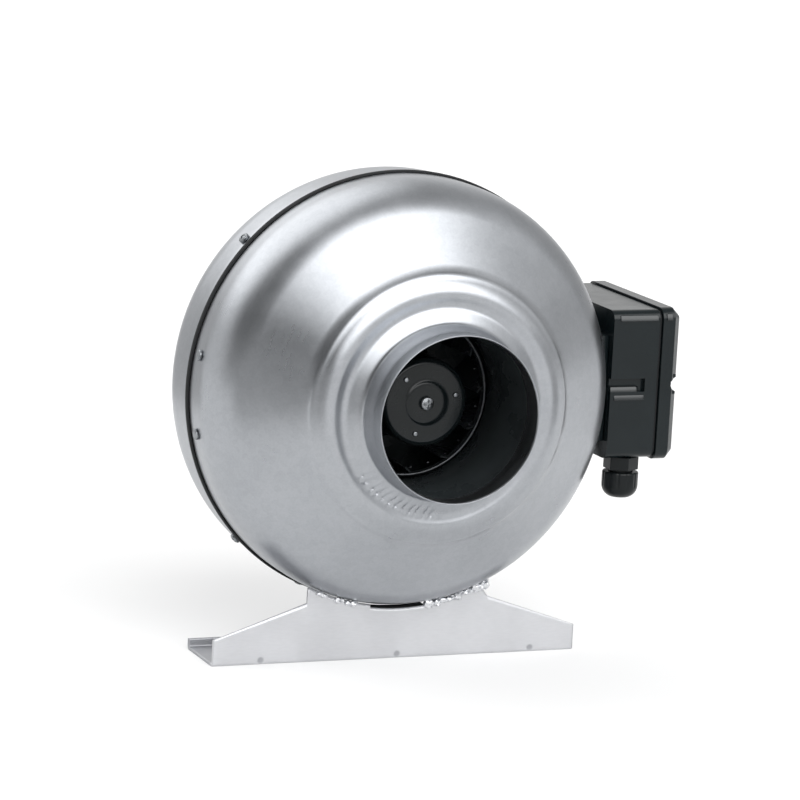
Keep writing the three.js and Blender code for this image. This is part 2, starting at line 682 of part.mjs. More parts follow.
function boxLid() {
  const shell = extrudeX(boxOutline(LID_BEVEL - LID_PROUD), lidStart, lidEnd - LID_BEVEL, {
    bevelEnabled: true, bevelSize: LID_BEVEL, bevelThickness: LID_BEVEL, bevelSegments: 1,
  });
  const flatBack = block(
    [lidStart - 5, BOX_FRONT - 5, BOX_BOTTOM - 5], [lidStart, boxRear + 5, boxTop + 5]);
  const hollow = extrudeX(boxOutline(BOX_WALL), lidStart - 3, lidEnd - BOX_WALL);
  const cup = cut(shell, [flatBack, hollow]);
  const pockets = lidScrewPlaces.flatMap(lidPocket);
  return cut(join([cup, ...screwPosts(lidStart, lidEnd - 1)]), [...pockets, ...lidScrewHoles(2)]);
}

function lidScrew() {
  const seat = lidStart + POCKET_FLOOR + GAP;
  return alongX(turned([
    [0, BOX_BACK + RECESS_LENGTH + 2], [1.6, BOX_BACK + RECESS_LENGTH + 3], [1.6, seat],
    [3.2, seat], [3.2, seat + 1], [2.2, seat + 1.9], [0, seat + 2],
  ], 12)).translate(0, 0, boxMiddle);
}

function boxScrew() {
  const seat = BOX_BACK + BOX_WALL + GAP;
  const head = [[3.6, seat], [3.6, seat + 1.2], [2.2, seat + 2.2], [0, seat + 2.3]];
  return alongX(turned([[0, 116], [1.8, 117.5], [1.8, seat], ...head], 12));
}

// Spacer between the round casing and the flat back of the box.
function boxSaddle() {
  const pad = block([118, BOX_FRONT + 6, -32], [BOX_BACK - GAP, -SEAM_GAP - 3, 32]);
  return cut(pad, [rod(SHELL_RADIUS + 0.3, -60, 60, 96), ...boxScrewHoles()]);
}

addPiece(axisGroup, 'box_saddle', boxSaddle(), blackPlastic);
BOX_SCREW_RISES.forEach((rise, i) => {
  const screw = boxScrew().translate(0, RIVET_SETBACK, rise);
  addPiece(axisGroup, `box_screw_${i + 1}`, screw, zincScrew);
});
addPiece(fan, 'box_base', boxBase(), blackPlastic);
addPiece(fan, 'lid_seal', lidSeal(), rubber);
addPiece(fan, 'box_lid', boxLid(), blackPlastic);
lidScrewPlaces.forEach((y, i) => {
  addPiece(fan, `lid_screw_${i + 1}`, lidScrew().translate(0, y, 0), zincScrew);
});

// The run capacitor lies along the top of the box, and the terminal block stands on its back wall.
addPiece(fan, 'run_capacitor', rod(11, 32, 70, 20).translate(146, 0, 190), whiteCan);
const terminalBlock = block([BOX_BACK + BOX_WALL + GAP, 6, 148], [147, 46, 164]);
addPiece(fan, 'terminal_block', terminalBlock, terminalNylon);

// ---- Cable gland --------------------------------------------------------------------------

const gland = new THREE.Group();
gland.position.set(GLAND_X, GLAND_Y, BOX_BOTTOM);
fan.add(gland);

const nutSeat = -GAP - GLAND_HEX_HEIGHT;

function glandBody() {
  const bore = 4.8;
  const tube = turned([[bore, 9], [GLAND_THREAD, 9], [GLAND_THREAD, -1], [bore, -1]], 24);
  const hex = turned([[bore, -GAP], [GLAND_HEX, -GAP], [GLAND_HEX, nutSeat], [bore, nutSeat]], 6);
  const lower = turned([[bore, nutSeat + 1], [7.1, nutSeat + 1], [7.1, -17.2], [bore, -17.2]], 24);
  const clearBore = rod(bore, -20, 12, 24);
  return alongZ(cut(join([tube, hex, lower]), [clearBore]));
}

function glandLocknut() {
  const hex = rod(10.4, BOX_WALL + 2 * GAP, BOX_WALL + 4, 6).rotateY(Math.PI / 6);
  return alongZ(cut(hex, [rod(GLAND_THREAD + GAP, 0, 10, 24)]));
}

function glandNut() {
  return alongZ(turned([
    [7.5, NUT_TOP], [10.2, NUT_TOP], [NUT_RADIUS, NUT_TOP - 1], [NUT_RADIUS, -17.6],
    [10, -21], [8.2, -23.8], [6, NUT_BOTTOM], [4.6, NUT_BOTTOM], [4.6, -22.6], [7.5, -21],
  ], 24));
}

addPiece(gland, 'gland_body', glandBody(), blackPlastic);
addPiece(gland, 'gland_locknut', glandLocknut(), blackPlastic);
addPiece(gland, 'gland_seal', alongZ(ring(CABLE_HOLE, 6.9, -20.6, -17.5)), rubber);
addPiece(gland, 'gland_nut', glandNut(), blackPlastic);

// ---- Motor lead ---------------------------------------------------------------------------

function leadGrommet() {
  const seat = BOX_BACK + BOX_WALL + GAP;
  const collar = [[6.4, seat], [8.6, seat], [8.6, seat + 1.5], [GROMMET_BORE, seat + 1.5]];
  return alongX(turned([[GROMMET_BORE, 118], [6.4, 118], ...collar], 16))
    .translate(0, LEAD_PORT_Y, LEAD_PORT_RISE);
}

// The lead leaves the stator through the flange, crosses behind the bracket, goes out through the
// grommet and drops to the terminal block.
function motorLead() {
  const route = [
    [LEAD_EXIT, 18.5, LEAD_EXIT], [LEAD_EXIT, 30, LEAD_EXIT], [14, 38, 13], [26, 42, 16],
    [52, 43, 22], [80, 42, 30], [97, 38, 34], [107, 29.5, 34.5], [114, 24, 34],
    [122, LEAD_PORT_Y, LEAD_PORT_RISE], [133, LEAD_PORT_Y, LEAD_PORT_RISE],
    [140, LEAD_PORT_Y, 31], [142.5, LEAD_PORT_Y, 23], [142, LEAD_PORT_Y, 6],
  ].map(([x, y, z]) => new THREE.Vector3(x, y, z));
  const section = new THREE.Shape();
  section.absarc(0, 0, LEAD_RADIUS, 0, 2 * Math.PI);
  return new THREE.ExtrudeGeometry(section, {
    steps: 44, curveSegments: 4, extrudePath: new THREE.CatmullRomCurve3(route), bevelEnabled: false,
  });
}

addPiece(axisGroup, 'lead_grommet', leadGrommet(), rubber);
addPiece(axisGroup, 'motor_lead', motorLead(), rubber);

export default fan;
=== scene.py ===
"""Inline duct fan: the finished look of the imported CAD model.

The CAD model is the fixed frame. Pressed sheet parts, screws and mouldings are remade here as
smooth meshes in the places the CAD gives, and the CAD nodes that stay get soft edges and materials.
Lengths below are millimetres; add_mesh() turns them into Blender's metres.
"""
import math
import random

import bmesh
import bpy
from mathutils import Matrix, Vector, noise


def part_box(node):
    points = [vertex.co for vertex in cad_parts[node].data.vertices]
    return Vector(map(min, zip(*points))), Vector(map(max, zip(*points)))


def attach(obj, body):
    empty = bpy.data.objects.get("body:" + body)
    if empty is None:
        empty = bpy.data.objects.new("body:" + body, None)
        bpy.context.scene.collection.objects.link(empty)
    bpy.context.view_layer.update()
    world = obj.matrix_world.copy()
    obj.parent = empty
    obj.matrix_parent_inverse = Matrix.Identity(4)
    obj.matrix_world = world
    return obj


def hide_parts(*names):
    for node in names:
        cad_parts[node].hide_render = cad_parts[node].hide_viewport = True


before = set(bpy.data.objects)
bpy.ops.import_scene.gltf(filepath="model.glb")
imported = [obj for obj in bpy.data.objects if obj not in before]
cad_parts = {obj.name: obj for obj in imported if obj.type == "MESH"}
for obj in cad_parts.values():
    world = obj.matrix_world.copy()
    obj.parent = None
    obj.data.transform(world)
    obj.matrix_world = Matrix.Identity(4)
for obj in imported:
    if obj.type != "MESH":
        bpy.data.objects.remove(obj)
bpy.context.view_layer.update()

MM = 0.001


def box_mm(node):
    """Lowest and highest corner of a CAD node, in millimetres."""
    low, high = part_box(node)
    return low / MM, high / MM


# ---- Driving dimensions, from the frame ---------------------------------------------------

FRONT_LOW, FRONT_HIGH = box_mm("front_shell")
REAR_HIGH = box_mm("rear_shell")[1]
FOOT_LOW, FOOT_HIGH = box_mm("foot_bracket")
CAN_LOW, CAN_HIGH = box_mm("rotor_can")
PLATE_LOW, PLATE_HIGH = box_mm("impeller_front_plate")
BACK_PLATE_LOW, BACK_PLATE_HIGH = box_mm("impeller_back_plate")
NUT_LOW, NUT_HIGH = box_mm("gland_nut")
BASE_LOW, BASE_HIGH = box_mm("box_base")
LID_LOW, LID_HIGH = box_mm("box_lid")

AXIS = Vector((0, 0, (FRONT_LOW.z + FRONT_HIGH.z) / 2))
SHELL_RADIUS = (FRONT_HIGH.z - FRONT_LOW.z) / 2
SPIGOT_END = -FRONT_LOW.y
REAR_EXTRA = REAR_HIGH.y - SPIGOT_END

# ---- Driving dimensions of the pressed shapes ---------------------------------------------

SHEET = 1
SPIGOT_RADIUS = 49
SPIGOT_ROOT = 92
SPIGOT_FOLD = Vector((51.8, 82.9))
SHOULDER_RADIUS = 42
SHOULDER_START = 15.5
CONE_ANGLE = math.radians(35.8)
VALLEY = Vector((76.8, 74.5))
COLLAR_CREASE = Vector((61.4, 77.3))
SEAM_GAP = 1.2
LIP_RADIUS = 126.2
LIP_LENGTH = 15

# Marks of the press: slow waves on the cones and fine folds in part of the front collar, which
# are placed by angle in degrees and by radius.
WAVE_HEIGHT = 0.14
COLLAR_DEPTH = 70
PUCKER_SECTOR = (219, 266)
PUCKER_BAND = (55.5, 61)
PUCKER_DEPTH = 1.05
PUCKERS_ROUND = 80
PUCKER_SLANT = 0.25

NOZZLE_THROAT = 50.6
NOZZLE_FLANGE = 72
NOZZLE_FRONT = 72.4
NOZZLE_LENGTH = 32
NOZZLE_END = -24

FOOT_SHEET = 1.5
FOOT_END_HEIGHT = 15.8
FOOT_DIMPLES = (-85, 1, 87)
EAR_HALF_WIDTH = 57.4
EAR_FOOT_HEIGHT = 35.6
SHORT_EAR = Vector((53, 41.5))
SADDLE_RADIUS = SHELL_RADIUS - 0.75
SADDLE_NOTCH_HALF = 17.6
SADDLE_NOTCH_DEPTH = 1.7
BACK_FLANGE_HEIGHT = 6.5
FRONT_BEND = 2.2
BACK_BEND = 3

EYE_RADIUS = 48.6
PLATE_SHEET = 1.2
PLATE_FLARE_START = -16
PLATE_FLARE_END = Vector((60, -14.5))
PLATE_RIM = -7
BACK_PLATE_BORE_GAP = 0.7
EYE_TABS = 24
EYE_TAB_RADIUS = 43.6
EYE_BEAD = 0.85

CAN_RADIUS = 26.3
CAN_SHEET = 1.4
CAN_BEND = 3.8
BOSS_RADIUS = 12.5
BOSS_HEIGHT = 1.2

TERMINAL_WAYS = 4
TERMINAL_WALL = 1.4
TERMINAL_SCREW_RADIUS = 2.8

NUT_SKIRT = 7.8
NUT_MOUTH = 7.5
NUT_BORE = 4.6
NUT_FLUTES = 12

# ---- Studio light: azimuth from +X towards +Y, elevation, outer and inner edge, strength ---

DOME_BASE = 0.9
DOME_PANELS = (
    (-83, 32, 45, 29, 3.0),
    (119, 48, 44, 4, 1.9),
)
DOME_SHADES = (
    (-156, 24, 42, 22, -0.75),
    (22, 15, 34, 18, -0.35),
    (100, 76, 50, 30, -0.5),
)
PANEL_BOTTOM = (10, 25)

# Grey cards standing on the floor: first and last azimuth, and brightness.
CARD_DISTANCE = 700
CARD_HEIGHT = 330
CARDS = (
    (-50, -14, 0.58),
    (98, 136, 0.62),
    (200, 238, 0.48),
)

# Camera place, in metres, and its long lens.
CAMERA_AZIMUTH = math.radians(-22.6)
CAMERA_ELEVATION = math.radians(10.6)
CAMERA_ROLL = math.radians(3.01)
CAMERA_DISTANCE = 2.451
CAMERA_TARGET = Vector((0.00556, 0, 0.1505))
CAMERA_LENS = 186.32

# ---- Outlines -----------------------------------------------------------------------------


def curve(start, control, end, steps):
    """Points after start on a quadratic curve."""
    points = []
    for i in range(1, steps + 1):
        t = i / steps
        points.append(start * (1 - t) ** 2 + control * (2 * t * (1 - t)) + end * t ** 2)
    return points


def arc(centre, radius, start, end, steps):
    """Points on an arc, with both ends, at angles in degrees."""
    points = []
    for i in range(steps + 1):
        angle = math.radians(start + (end - start) * i / steps)
        points.append(centre + Vector((math.cos(angle), math.sin(angle))) * radius)
    return points


def shifted(points, distance):
    """Shift a polyline sideways, to the left of its direction, with mitred corners."""
    normals = []
    for here, ahead in zip(points, points[1:]):
        along = (ahead - here).normalized()
        normals.append(Vector((-along.y, along.x)))
    moved = []
    for i, point in enumerate(points):
        before = normals[max(i - 1, 0)]
        after = normals[min(i, len(normals) - 1)]
        mitre = (before + after).normalized()
        moved.append(point + mitre * (distance / mitre.dot(after)))
    return moved


def sheet_outline(skin, thickness):
    """Closed outline of a bent sheet: one skin, then the other on the way back."""
    return skin + shifted(skin, thickness)[::-1]


def rounded(points, radius, steps=3):
    """Round the sharp corners of a closed outline, apart from those on the axis."""
    result = []
    for i, corner in enumerate(points):
        back = points[i - 1] - corner
        ahead = points[(i + 1) % len(points)] - corner
        turn = math.pi - back.angle(ahead)
        if turn < math.radians(25) or corner.x < 1e-6:
            result.append(corner)
            continue
        reach = min(radius * math.tan(turn / 2), 0.45 * back.length, 0.45 * ahead.length)
        start = corner + back.normalized() * reach
        end = corner + ahead.normalized() * reach
        result.append(start)
        result += curve(start, corner, end, steps)
    return result


# ---- Meshes -------------------------------------------------------------------------------


def add_mesh(name, vertices, faces, place=Matrix(), sharp=35):
    """A smooth-shaded mesh object from millimetre vertices, its corners sharp past an angle."""
    mesh = bpy.data.meshes.new(name)
    mesh.from_pydata([place @ v * MM for v in vertices], [], faces)
    work = bmesh.new()
    work.from_mesh(mesh)
    bmesh.ops.remove_doubles(work, verts=work.verts, dist=1e-7)
    bmesh.ops.recalc_face_normals(work, faces=work.faces)
    work.to_mesh(mesh)
    work.free()
    mesh.shade_smooth()
    mesh.set_sharp_from_angle(angle=math.radians(sharp))
    piece = bpy.data.objects.new(name, mesh)
    bpy.context.scene.collection.objects.link(piece)
    return piece


def turned(name, outline, place=Matrix(), segments=96, deform=None):
    """Turn a closed outline of (radius, distance) points about the local Y axis."""
    vertices = []
    for i in range(segments):
        angle = 2 * math.pi * i / segments
        for point in outline:
            radius, along = deform(angle, *point) if deform else point
            vertices.append(Vector((radius * math.cos(angle), along, radius * math.sin(angle))))
    faces = []
    count = len(outline)
    for i in range(segments):
        ahead = (i + 1) % segments
        for j in range(count):
            above = (j + 1) % count
            if outline[j].x > 1e-6 or outline[above].x > 1e-6:
                faces.append((i * count + j, i * count + above,
                              ahead * count + above, ahead * count + j))
    return add_mesh(name, vertices, faces, place)


def along_axis(origin, direction):
    """A placing that points the local Y axis in a direction."""
    turn = Vector((0, 1, 0)).rotation_difference(direction)
    return Matrix.Translation(origin) @ turn.to_matrix().to_4x4()


def block_mesh(name, low, high, bevel, reshape=None, cuts=12):
    """A block with rounded edges, cut into slices along its length and reshaped."""
    work = bmesh.new()
    bmesh.ops.create_cube(work, size=1)
    for vertex in work.verts:
        vertex.co = Vector([a + (c + 0.5) * (b - a) for a, b, c in zip(low, high, vertex.co)])
    bmesh.ops.bevel(work, geom=work.edges, offset=bevel, segments=3, profile=0.5, affect="EDGES")
    for i in range(1, cuts):
        bmesh.ops.bisect_plane(
            work, geom=work.verts[:] + work.edges[:] + work.faces[:],
            plane_co=low.lerp(high, i / cuts), plane_no=Vector((1, 0, 0)))
    vertices = [reshape(v.co.copy()) if reshape else v.co.copy() for v in work.verts]
    faces = [[v.index for v in face.verts] for face in work.faces]
    work.free()
    return add_mesh(name, vertices, faces, sharp=50)


def finished(piece, surface, body, slot, *nodes):
    """Give a piece its material and body, and let it stand for CAD nodes. The slot argument is not
    used.
    """
    piece.data.materials.clear()
    piece.data.materials.append(surface)
    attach(piece, body)
    if nodes:
        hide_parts(*nodes)
    return piece


def soften(node, width, surface, segments=2):
    """Soft edges and a material for a CAD node that keeps its shape."""
    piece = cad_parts[node]
    piece.data.materials.clear()
    piece.data.materials.append(surface)
    if "custom_normal" in piece.data.attributes:
        piece.data.attributes.remove(piece.data.attributes["custom_normal"])
    piece.data.shade_smooth()
    weld = piece.modifiers.new("weld", "WELD")
    weld.merge_threshold = 1e-6
    bevel = piece.modifiers.new("bevel", "BEVEL")
    bevel.width = width * MM
    bevel.segments = segments
    bevel.limit_method = "ANGLE"
    bevel.angle_limit = math.radians(38)
    weighted = piece.modifiers.new("weighted", "WEIGHTED_NORMAL")
    weighted.weight = 80
    return piece


# ---- Materials ----------------------------------------------------------------------------


class Surface:
    """A Principled material, with helpers for its procedural detail."""

    def __init__(self, name, metallic=0.0, specular=0.5):
        self.material = bpy.data.materials.new(name)
        self.material.use_nodes = True
        self.nodes = self.material.node_tree.nodes
        self.links = self.material.node_tree.links
        self.shader = self.nodes["Principled BSDF"]
        self.shader.inputs["Metallic"].default_value = metallic
        self.shader.inputs["Specular IOR Level"].default_value = specular
        self.place = self.nodes.new("ShaderNodeTexCoord").outputs["Object"]
        self.relief = None

    def stretched(self, x, y, z):
        """Coordinates scaled differently along each axis, for brushed or drawn grain."""
        mapping = self.nodes.new("ShaderNodeMapping")
        mapping.inputs["Scale"].default_value = (x, y, z)
        self.links.new(self.place, mapping.inputs["Vector"])
        return mapping.outputs["Vector"]

    def noise(self, scale, detail=3.0, place=None):
        texture = self.nodes.new("ShaderNodeTexNoise")
        texture.inputs["Scale"].default_value = scale
        texture.inputs["Detail"].default_value = detail
        self.links.new(place or self.place, texture.inputs["Vector"])
        return texture.outputs["Fac"]

    def spangle(self, scale):
        """A random grey for each crystal of the zinc."""
        texture = self.nodes.new("ShaderNodeTexVoronoi")
        texture.inputs["Scale"].default_value = scale
        self.links.new(self.place, texture.inputs["Vector"])
        grey = self.nodes.new("ShaderNodeRGBToBW")
        self.links.new(texture.outputs["Color"], grey.inputs["Color"])
        return grey.outputs["Val"]

    def ranged(self, value, low, high, start=0.3, end=0.7):
        """Map a texture value to a range, with smooth ends."""
        node = self.nodes.new("ShaderNodeMapRange")
        node.interpolation_type = "SMOOTHSTEP"
        node.inputs["From Min"].default_value = start
        node.inputs["From Max"].default_value = end
        node.inputs["To Min"].default_value = low
        node.inputs["To Max"].default_value = high
        self.links.new(value, node.inputs["Value"])
        return node.outputs["Result"]

    def spot(self, centre, inner, outer, strength):
        """A soft round spot at a place in millimetres."""
        reach = self.nodes.new("ShaderNodeVectorMath")
        reach.operation = "DISTANCE"
        self.links.new(self.place, reach.inputs[0])
        reach.inputs[1].default_value = Vector(centre) * MM
        return self.ranged(reach.outputs["Value"], strength, 0, inner * MM, outer * MM)

    def beyond(self, axis, start, length, strength):
        """A value that grows along an axis from a start in millimetres."""
        split = self.nodes.new("ShaderNodeSeparateXYZ")
        self.links.new(self.place, split.inputs["Vector"])
        return self.ranged(split.outputs[axis], 0, strength, start * MM, (start + length) * MM)

    def combined(self, operation, first, second):
        node = self.nodes.new("ShaderNodeMath")
        node.operation = operation
        self.links.new(first, node.inputs[0])
        self.links.new(second, node.inputs[1])
        return node.outputs["Value"]

    def colour(self, value, dark, light):
        """Blend between two colours by a value from 0 to 1."""
        node = self.nodes.new("ShaderNodeMix")
        node.data_type = "RGBA"
        node.clamp_factor = False
        node.inputs["A"].default_value = (*dark, 1)
        node.inputs["B"].default_value = (*light, 1)
        self.links.new(value, node.inputs["Factor"])
        self.links.new(node.outputs["Result"], self.shader.inputs["Base Color"])

    def roughness(self, value):
        self.links.new(value, self.shader.inputs["Roughness"])

    def bump(self, value, height, strength=1.0):
        """Add relief of a height in millimetres on top of what is there."""
        node = self.nodes.new("ShaderNodeBump")
        node.inputs["Distance"].default_value = height * MM
        node.inputs["Strength"].default_value = strength
        self.links.new(value, node.inputs["Height"])
        if self.relief:
            self.links.new(self.relief, node.inputs["Normal"])
        self.relief = node.outputs["Normal"]
        self.links.new(self.relief, self.shader.inputs["Normal"])


def galvanised_steel():
    """Satin zinc: fine sparkle, faint crystals, cloudy patches and drawn scuffs."""
    surface = Surface("galvanised_steel", metallic=1.0)
    grain = surface.noise(800, 2)
    cloud = surface.noise(24, 3)
    crystals = surface.spangle(300)
    mixed = surface.combined("ADD", surface.ranged(grain, 0, 0.26), surface.ranged(crystals, 0, 0.2))
    mixed = surface.combined("ADD", mixed, surface.ranged(cloud, 0, 0.36))
    surface.colour(mixed, (0.345, 0.359, 0.38), (0.42, 0.434, 0.456))
    scuffs = surface.noise(90, 5, surface.stretched(1, 9, 1))
    rough = surface.combined("ADD", surface.ranged(cloud, 0.27, 0.33), surface.ranged(scuffs, 0, 0.02))
    surface.roughness(rough)
    surface.bump(surface.noise(20, 0), 0.12)
    surface.bump(grain, 0.0015)
    return surface.material


def foot_steel():
    """Paler rolled sheet with a faint grain along its length, with painted shade in its three dents and
    on the channel's floor and back flange behind the front plate.
    """
    surface = Surface("foot_steel", metallic=0.8)
    grain = surface.noise(900, 3, surface.stretched(0.2, 1, 1))
    cloud = surface.noise(28, 4)
    mixed = surface.combined("ADD", surface.ranged(grain, 0, 0.3), surface.ranged(cloud, 0, 0.7))
    # Painted shade: darker round spots in the three dents along the front bend.
    for x in FOOT_DIMPLES:
        mixed = surface.combined("SUBTRACT", mixed, surface.spot((x, FOOT_LOW.y, 2.6), 1.2, 2.6, 3))
    # Painted shade: the colour darkens behind the front plate, on the channel's floor and back flange.
    mixed = surface.combined("SUBTRACT", mixed, surface.beyond("Y", FOOT_LOW.y + 1.6, 5, 2.4))
    surface.colour(mixed, (0.52, 0.526, 0.545), (0.59, 0.596, 0.615))
    surface.roughness(surface.ranged(cloud, 0.42, 0.52))
    surface.bump(surface.noise(24, 1), 0.15)
    surface.bump(grain, 0.006)
    return surface.material


def plated_steel(name, dark, light, smoothest, roughest):
    """Small turned or pressed steel parts: clean metal with rubbed, duller patches."""
    surface = Surface(name, metallic=1.0)
    patches = surface.noise(380, 4)
    grain = surface.noise(2600, 2)
    mixed = surface.combined("ADD", surface.ranged(patches, 0, 0.6), surface.ranged(grain, 0, 0.4))
    surface.colour(mixed, dark, light)
    surface.roughness(surface.ranged(patches, smoothest, roughest))
    surface.bump(grain, 0.004)
    return surface.material


def stoved_paint(name, dark, light, specular=0.22, smoothest=0.22, roughest=0.34):
    """Stoved black paint with slight orange peel and a dusty bloom."""
    surface = Surface(name, specular=specular)
    dust = surface.noise(55, 5)
    peel = surface.noise(520, 2)
    surface.colour(surface.ranged(dust, 0, 1), dark, light)
    surface.roughness(surface.ranged(dust, smoothest, roughest))
    surface.bump(peel, 0.03)
    return surface.material


def moulded_plastic(name, dark, light, smoothest, roughest, texture=0.035, specular=0.24):
    """Moulded plastic or rubber with a spark-eroded texture and faint handling marks."""
    surface = Surface(name, specular=specular)
    marks = surface.noise(48, 5)
    fine = surface.noise(1500, 2)
    mixed = surface.combined("ADD", surface.ranged(marks, 0, 0.65), surface.ranged(fine, 0, 0.35))
    surface.colour(mixed, dark, light)
    surface.roughness(surface.ranged(marks, smoothest, roughest))
    surface.bump(fine, texture)
    return surface.material


def laminated_core():
    """Stacked laminations: fine rings of light and dark steel along the fan axis."""
    surface = Surface("laminated_core", metallic=0.8)
    layers = surface.noise(300, 1, surface.stretched(0.01, 6, 0.01))
    surface.colour(surface.ranged(layers, 0, 1, 0.42, 0.58), (0.06, 0.065, 0.07), (0.2, 0.21, 0.22))
    surface.roughness(surface.ranged(layers, 0.45, 0.65))
    surface.bump(layers, 0.1)
    return surface.material


def copper_winding():
    """Lacquered wire: close bands that run round the coil ends."""
    surface = Surface("copper_winding", metallic=0.9)
    wires = surface.noise(700, 2, surface.stretched(1, 0.3, 1))
    surface.colour(surface.ranged(wires, 0, 1), (0.2, 0.065, 0.025), (0.52, 0.22, 0.1))
    surface.roughness(surface.ranged(wires, 0.28, 0.5))
    surface.bump(wires, 0.2)
    return surface.material


GALVANISED = galvanised_steel()
FOOT_STEEL = foot_steel()
ZINC_SCREW = plated_steel("zinc_screw", (0.16, 0.17, 0.18), (0.36, 0.375, 0.39), 0.28, 0.45)
BRIGHT_STEEL = plated_steel("bright_steel", (0.5, 0.51, 0.53), (0.74, 0.75, 0.77), 0.2, 0.38)
TAB_STEEL = plated_steel("tab_steel", (0.05, 0.054, 0.058), (0.15, 0.156, 0.164), 0.3, 0.5)
WELD_METAL = plated_steel("weld_metal", (0.6, 0.61, 0.63), (0.82, 0.83, 0.85), 0.25, 0.4)
# Two copies of one black paint: the lighter one, on the nozzle, impeller plates and blades deep inside,
# holds painted light; the darker one, on the front-lit rotor can, holds painted shade.
BLACK_PAINT = stoved_paint("black_paint", (0.019, 0.023, 0.0245), (0.028, 0.033, 0.035))
ROTOR_PAINT = stoved_paint(
    "rotor_paint", (0.0035, 0.0058, 0.0064), (0.0075, 0.0102, 0.011), 0.3, 0.15, 0.22)
BLACK_PLASTIC = moulded_plastic(
    "black_plastic", (0.002, 0.005, 0.0062), (0.0045, 0.0085, 0.01), 0.21, 0.26, 0.006, 0.31)
RUBBED_PLASTIC = moulded_plastic(
    "rubbed_plastic", (0.002, 0.005, 0.0062), (0.0045, 0.0085, 0.01), 0.2, 0.25, 0.006, 0.6)
GLAND_NYLON = moulded_plastic(
    "gland_nylon", (0.003, 0.0045, 0.005), (0.006, 0.008, 0.0086), 0.28, 0.36, 0.006, 0.22)
RUBBER = moulded_plastic("rubber", (0.008, 0.009, 0.01), (0.016, 0.017, 0.018), 0.6, 0.8)
LEAD_SHEATH = moulded_plastic("lead_sheath", (0.009, 0.01, 0.011), (0.02, 0.021, 0.022), 0.42, 0.6)
CAPACITOR_WHITE = moulded_plastic("capacitor_white", (0.6, 0.58, 0.52), (0.7, 0.68, 0.62), 0.4, 0.6)
NYLON = moulded_plastic("terminal_nylon", (0.66, 0.64, 0.57), (0.76, 0.74, 0.67), 0.42, 0.6)
LAMINATION = laminated_core()
COPPER = copper_winding()

# ---- Casing -------------------------------------------------------------------------------

AT_AXIS = Matrix.Translation(AXIS)


def shell_skin(extra):
    """Outer skin of a half shell, from the spigot's rim to the start of the straight skirt."""
    into_crease = (COLLAR_CREASE - SPIGOT_FOLD).normalized()
    onto_bead = Vector((9, 2.7)).normalized()
    skin = [Vector((SPIGOT_RADIUS, SPIGOT_END - step)) for step in (0, 2, 6, 10)]
    skin += curve(skin[-1], Vector((SPIGOT_RADIUS, SPIGOT_ROOT)), SPIGOT_FOLD + Vector((-0.5, 1.6)), 6)
    skin += curve(skin[-1], SPIGOT_FOLD, SPIGOT_FOLD + into_crease * 2, 4)
    skin += [skin[-1].lerp(COLLAR_CREASE - into_crease * 3, i / 4) for i in range(1, 5)]
    skin += curve(skin[-1], COLLAR_CREASE, COLLAR_CREASE + onto_bead * 4, 8)
    skin += curve(skin[-1], COLLAR_CREASE + onto_bead * 9.4, VALLEY, 10)
    centre = Vector((SHELL_RADIUS - SHOULDER_RADIUS, SHOULDER_START))
    shoulder = arc(centre, SHOULDER_RADIUS, 90 - math.degrees(CONE_ANGLE), 0, 36)
    cone_start = VALLEY + Vector((3.7, -3.4))
    skin += curve(VALLEY, VALLEY + Vector((2.6, -1.2)), cone_start, 5)
    skin += [cone_start.lerp(shoulder[0], step / 8) for step in range(1, 8)]
    skin += shoulder
    return [Vector((p.x, p.y + extra)) for p in skin]


def between(value, start, end, soft):
    """1 inside a range, falling smoothly to 0 over a soft border outside it."""
    outside = max(start - value, value - end, 0) / soft
    return max(0, 1 - outside) ** 2


def pressing_marks(seed, side, puckered):
    """Slow waves over the cone and, on a puckered shell, fine folds in part of its collar."""

    def deform(angle, radius, along):
        depth = abs(along)
        spot = Vector((math.cos(angle), math.sin(angle), seed)) * 1.6
        wave = WAVE_HEIGHT * noise.noise(spot + Vector((0, 0, depth / 30)))
        fade = min(1, max(0, (SPIGOT_ROOT - depth) / 12)) * min(1, depth / 25)
        shift = wave * fade
        if puckered and depth > COLLAR_DEPTH:
            on_collar = between(radius, *PUCKER_BAND, 3)
            in_sector = between(math.degrees(angle), *PUCKER_SECTOR, 10)
            slant = PUCKER_SLANT * (radius - SPIGOT_FOLD.x)
            wander = 2.2 * noise.noise(Vector((angle * 9, 0, seed)))
            folds = abs(math.sin(angle * PUCKERS_ROUND / 2 + slant + wander))
            shift -= PUCKER_DEPTH * on_collar * in_sector * (1 - folds) ** 1.5
        return radius + wave * fade * 0.5, along + side * shift

    return deform


def thin_rim(outline, inwards):
    """Chamfer the inner edge of the spigot's cut rim, which ends an outline."""
    corner = outline[-1]
    return outline[:-1] + [corner + Vector((0, inwards)), corner + Vector((SHEET * 0.6, 0))]


def half_shells():
    """Front shell with its lip inside the seam, and the longer rear shell."""
    skirt = [(SHELL_RADIUS, 9), (SHELL_RADIUS, 2.4)]
    skirt += [(LIP_RADIUS, SEAM_GAP), (LIP_RADIUS, -LIP_LENGTH)]
    front = [Vector((p.x, -p.y)) for p in shell_skin(0) + [Vector(p) for p in skirt]]
    front_shell = turned(
        "front_shell_skin", rounded(thin_rim(sheet_outline(front, SHEET), 0.9), 0.15), AT_AXIS, 480,
        pressing_marks(2.0, -1, True))
    rear = shell_skin(REAR_EXTRA) + [Vector((SHELL_RADIUS, 9)), Vector((SHELL_RADIUS, SEAM_GAP))]
    rear_shell = turned(
        "rear_shell_skin", rounded(thin_rim(sheet_outline(rear, -SHEET), -0.9), 0.15), AT_AXIS, 240,
        pressing_marks(7.0, 1, False))
    finished(front_shell, GALVANISED, "casing", "galvanised", "front_shell")
    finished(rear_shell, GALVANISED, "casing", "galvanised", "rear_shell")


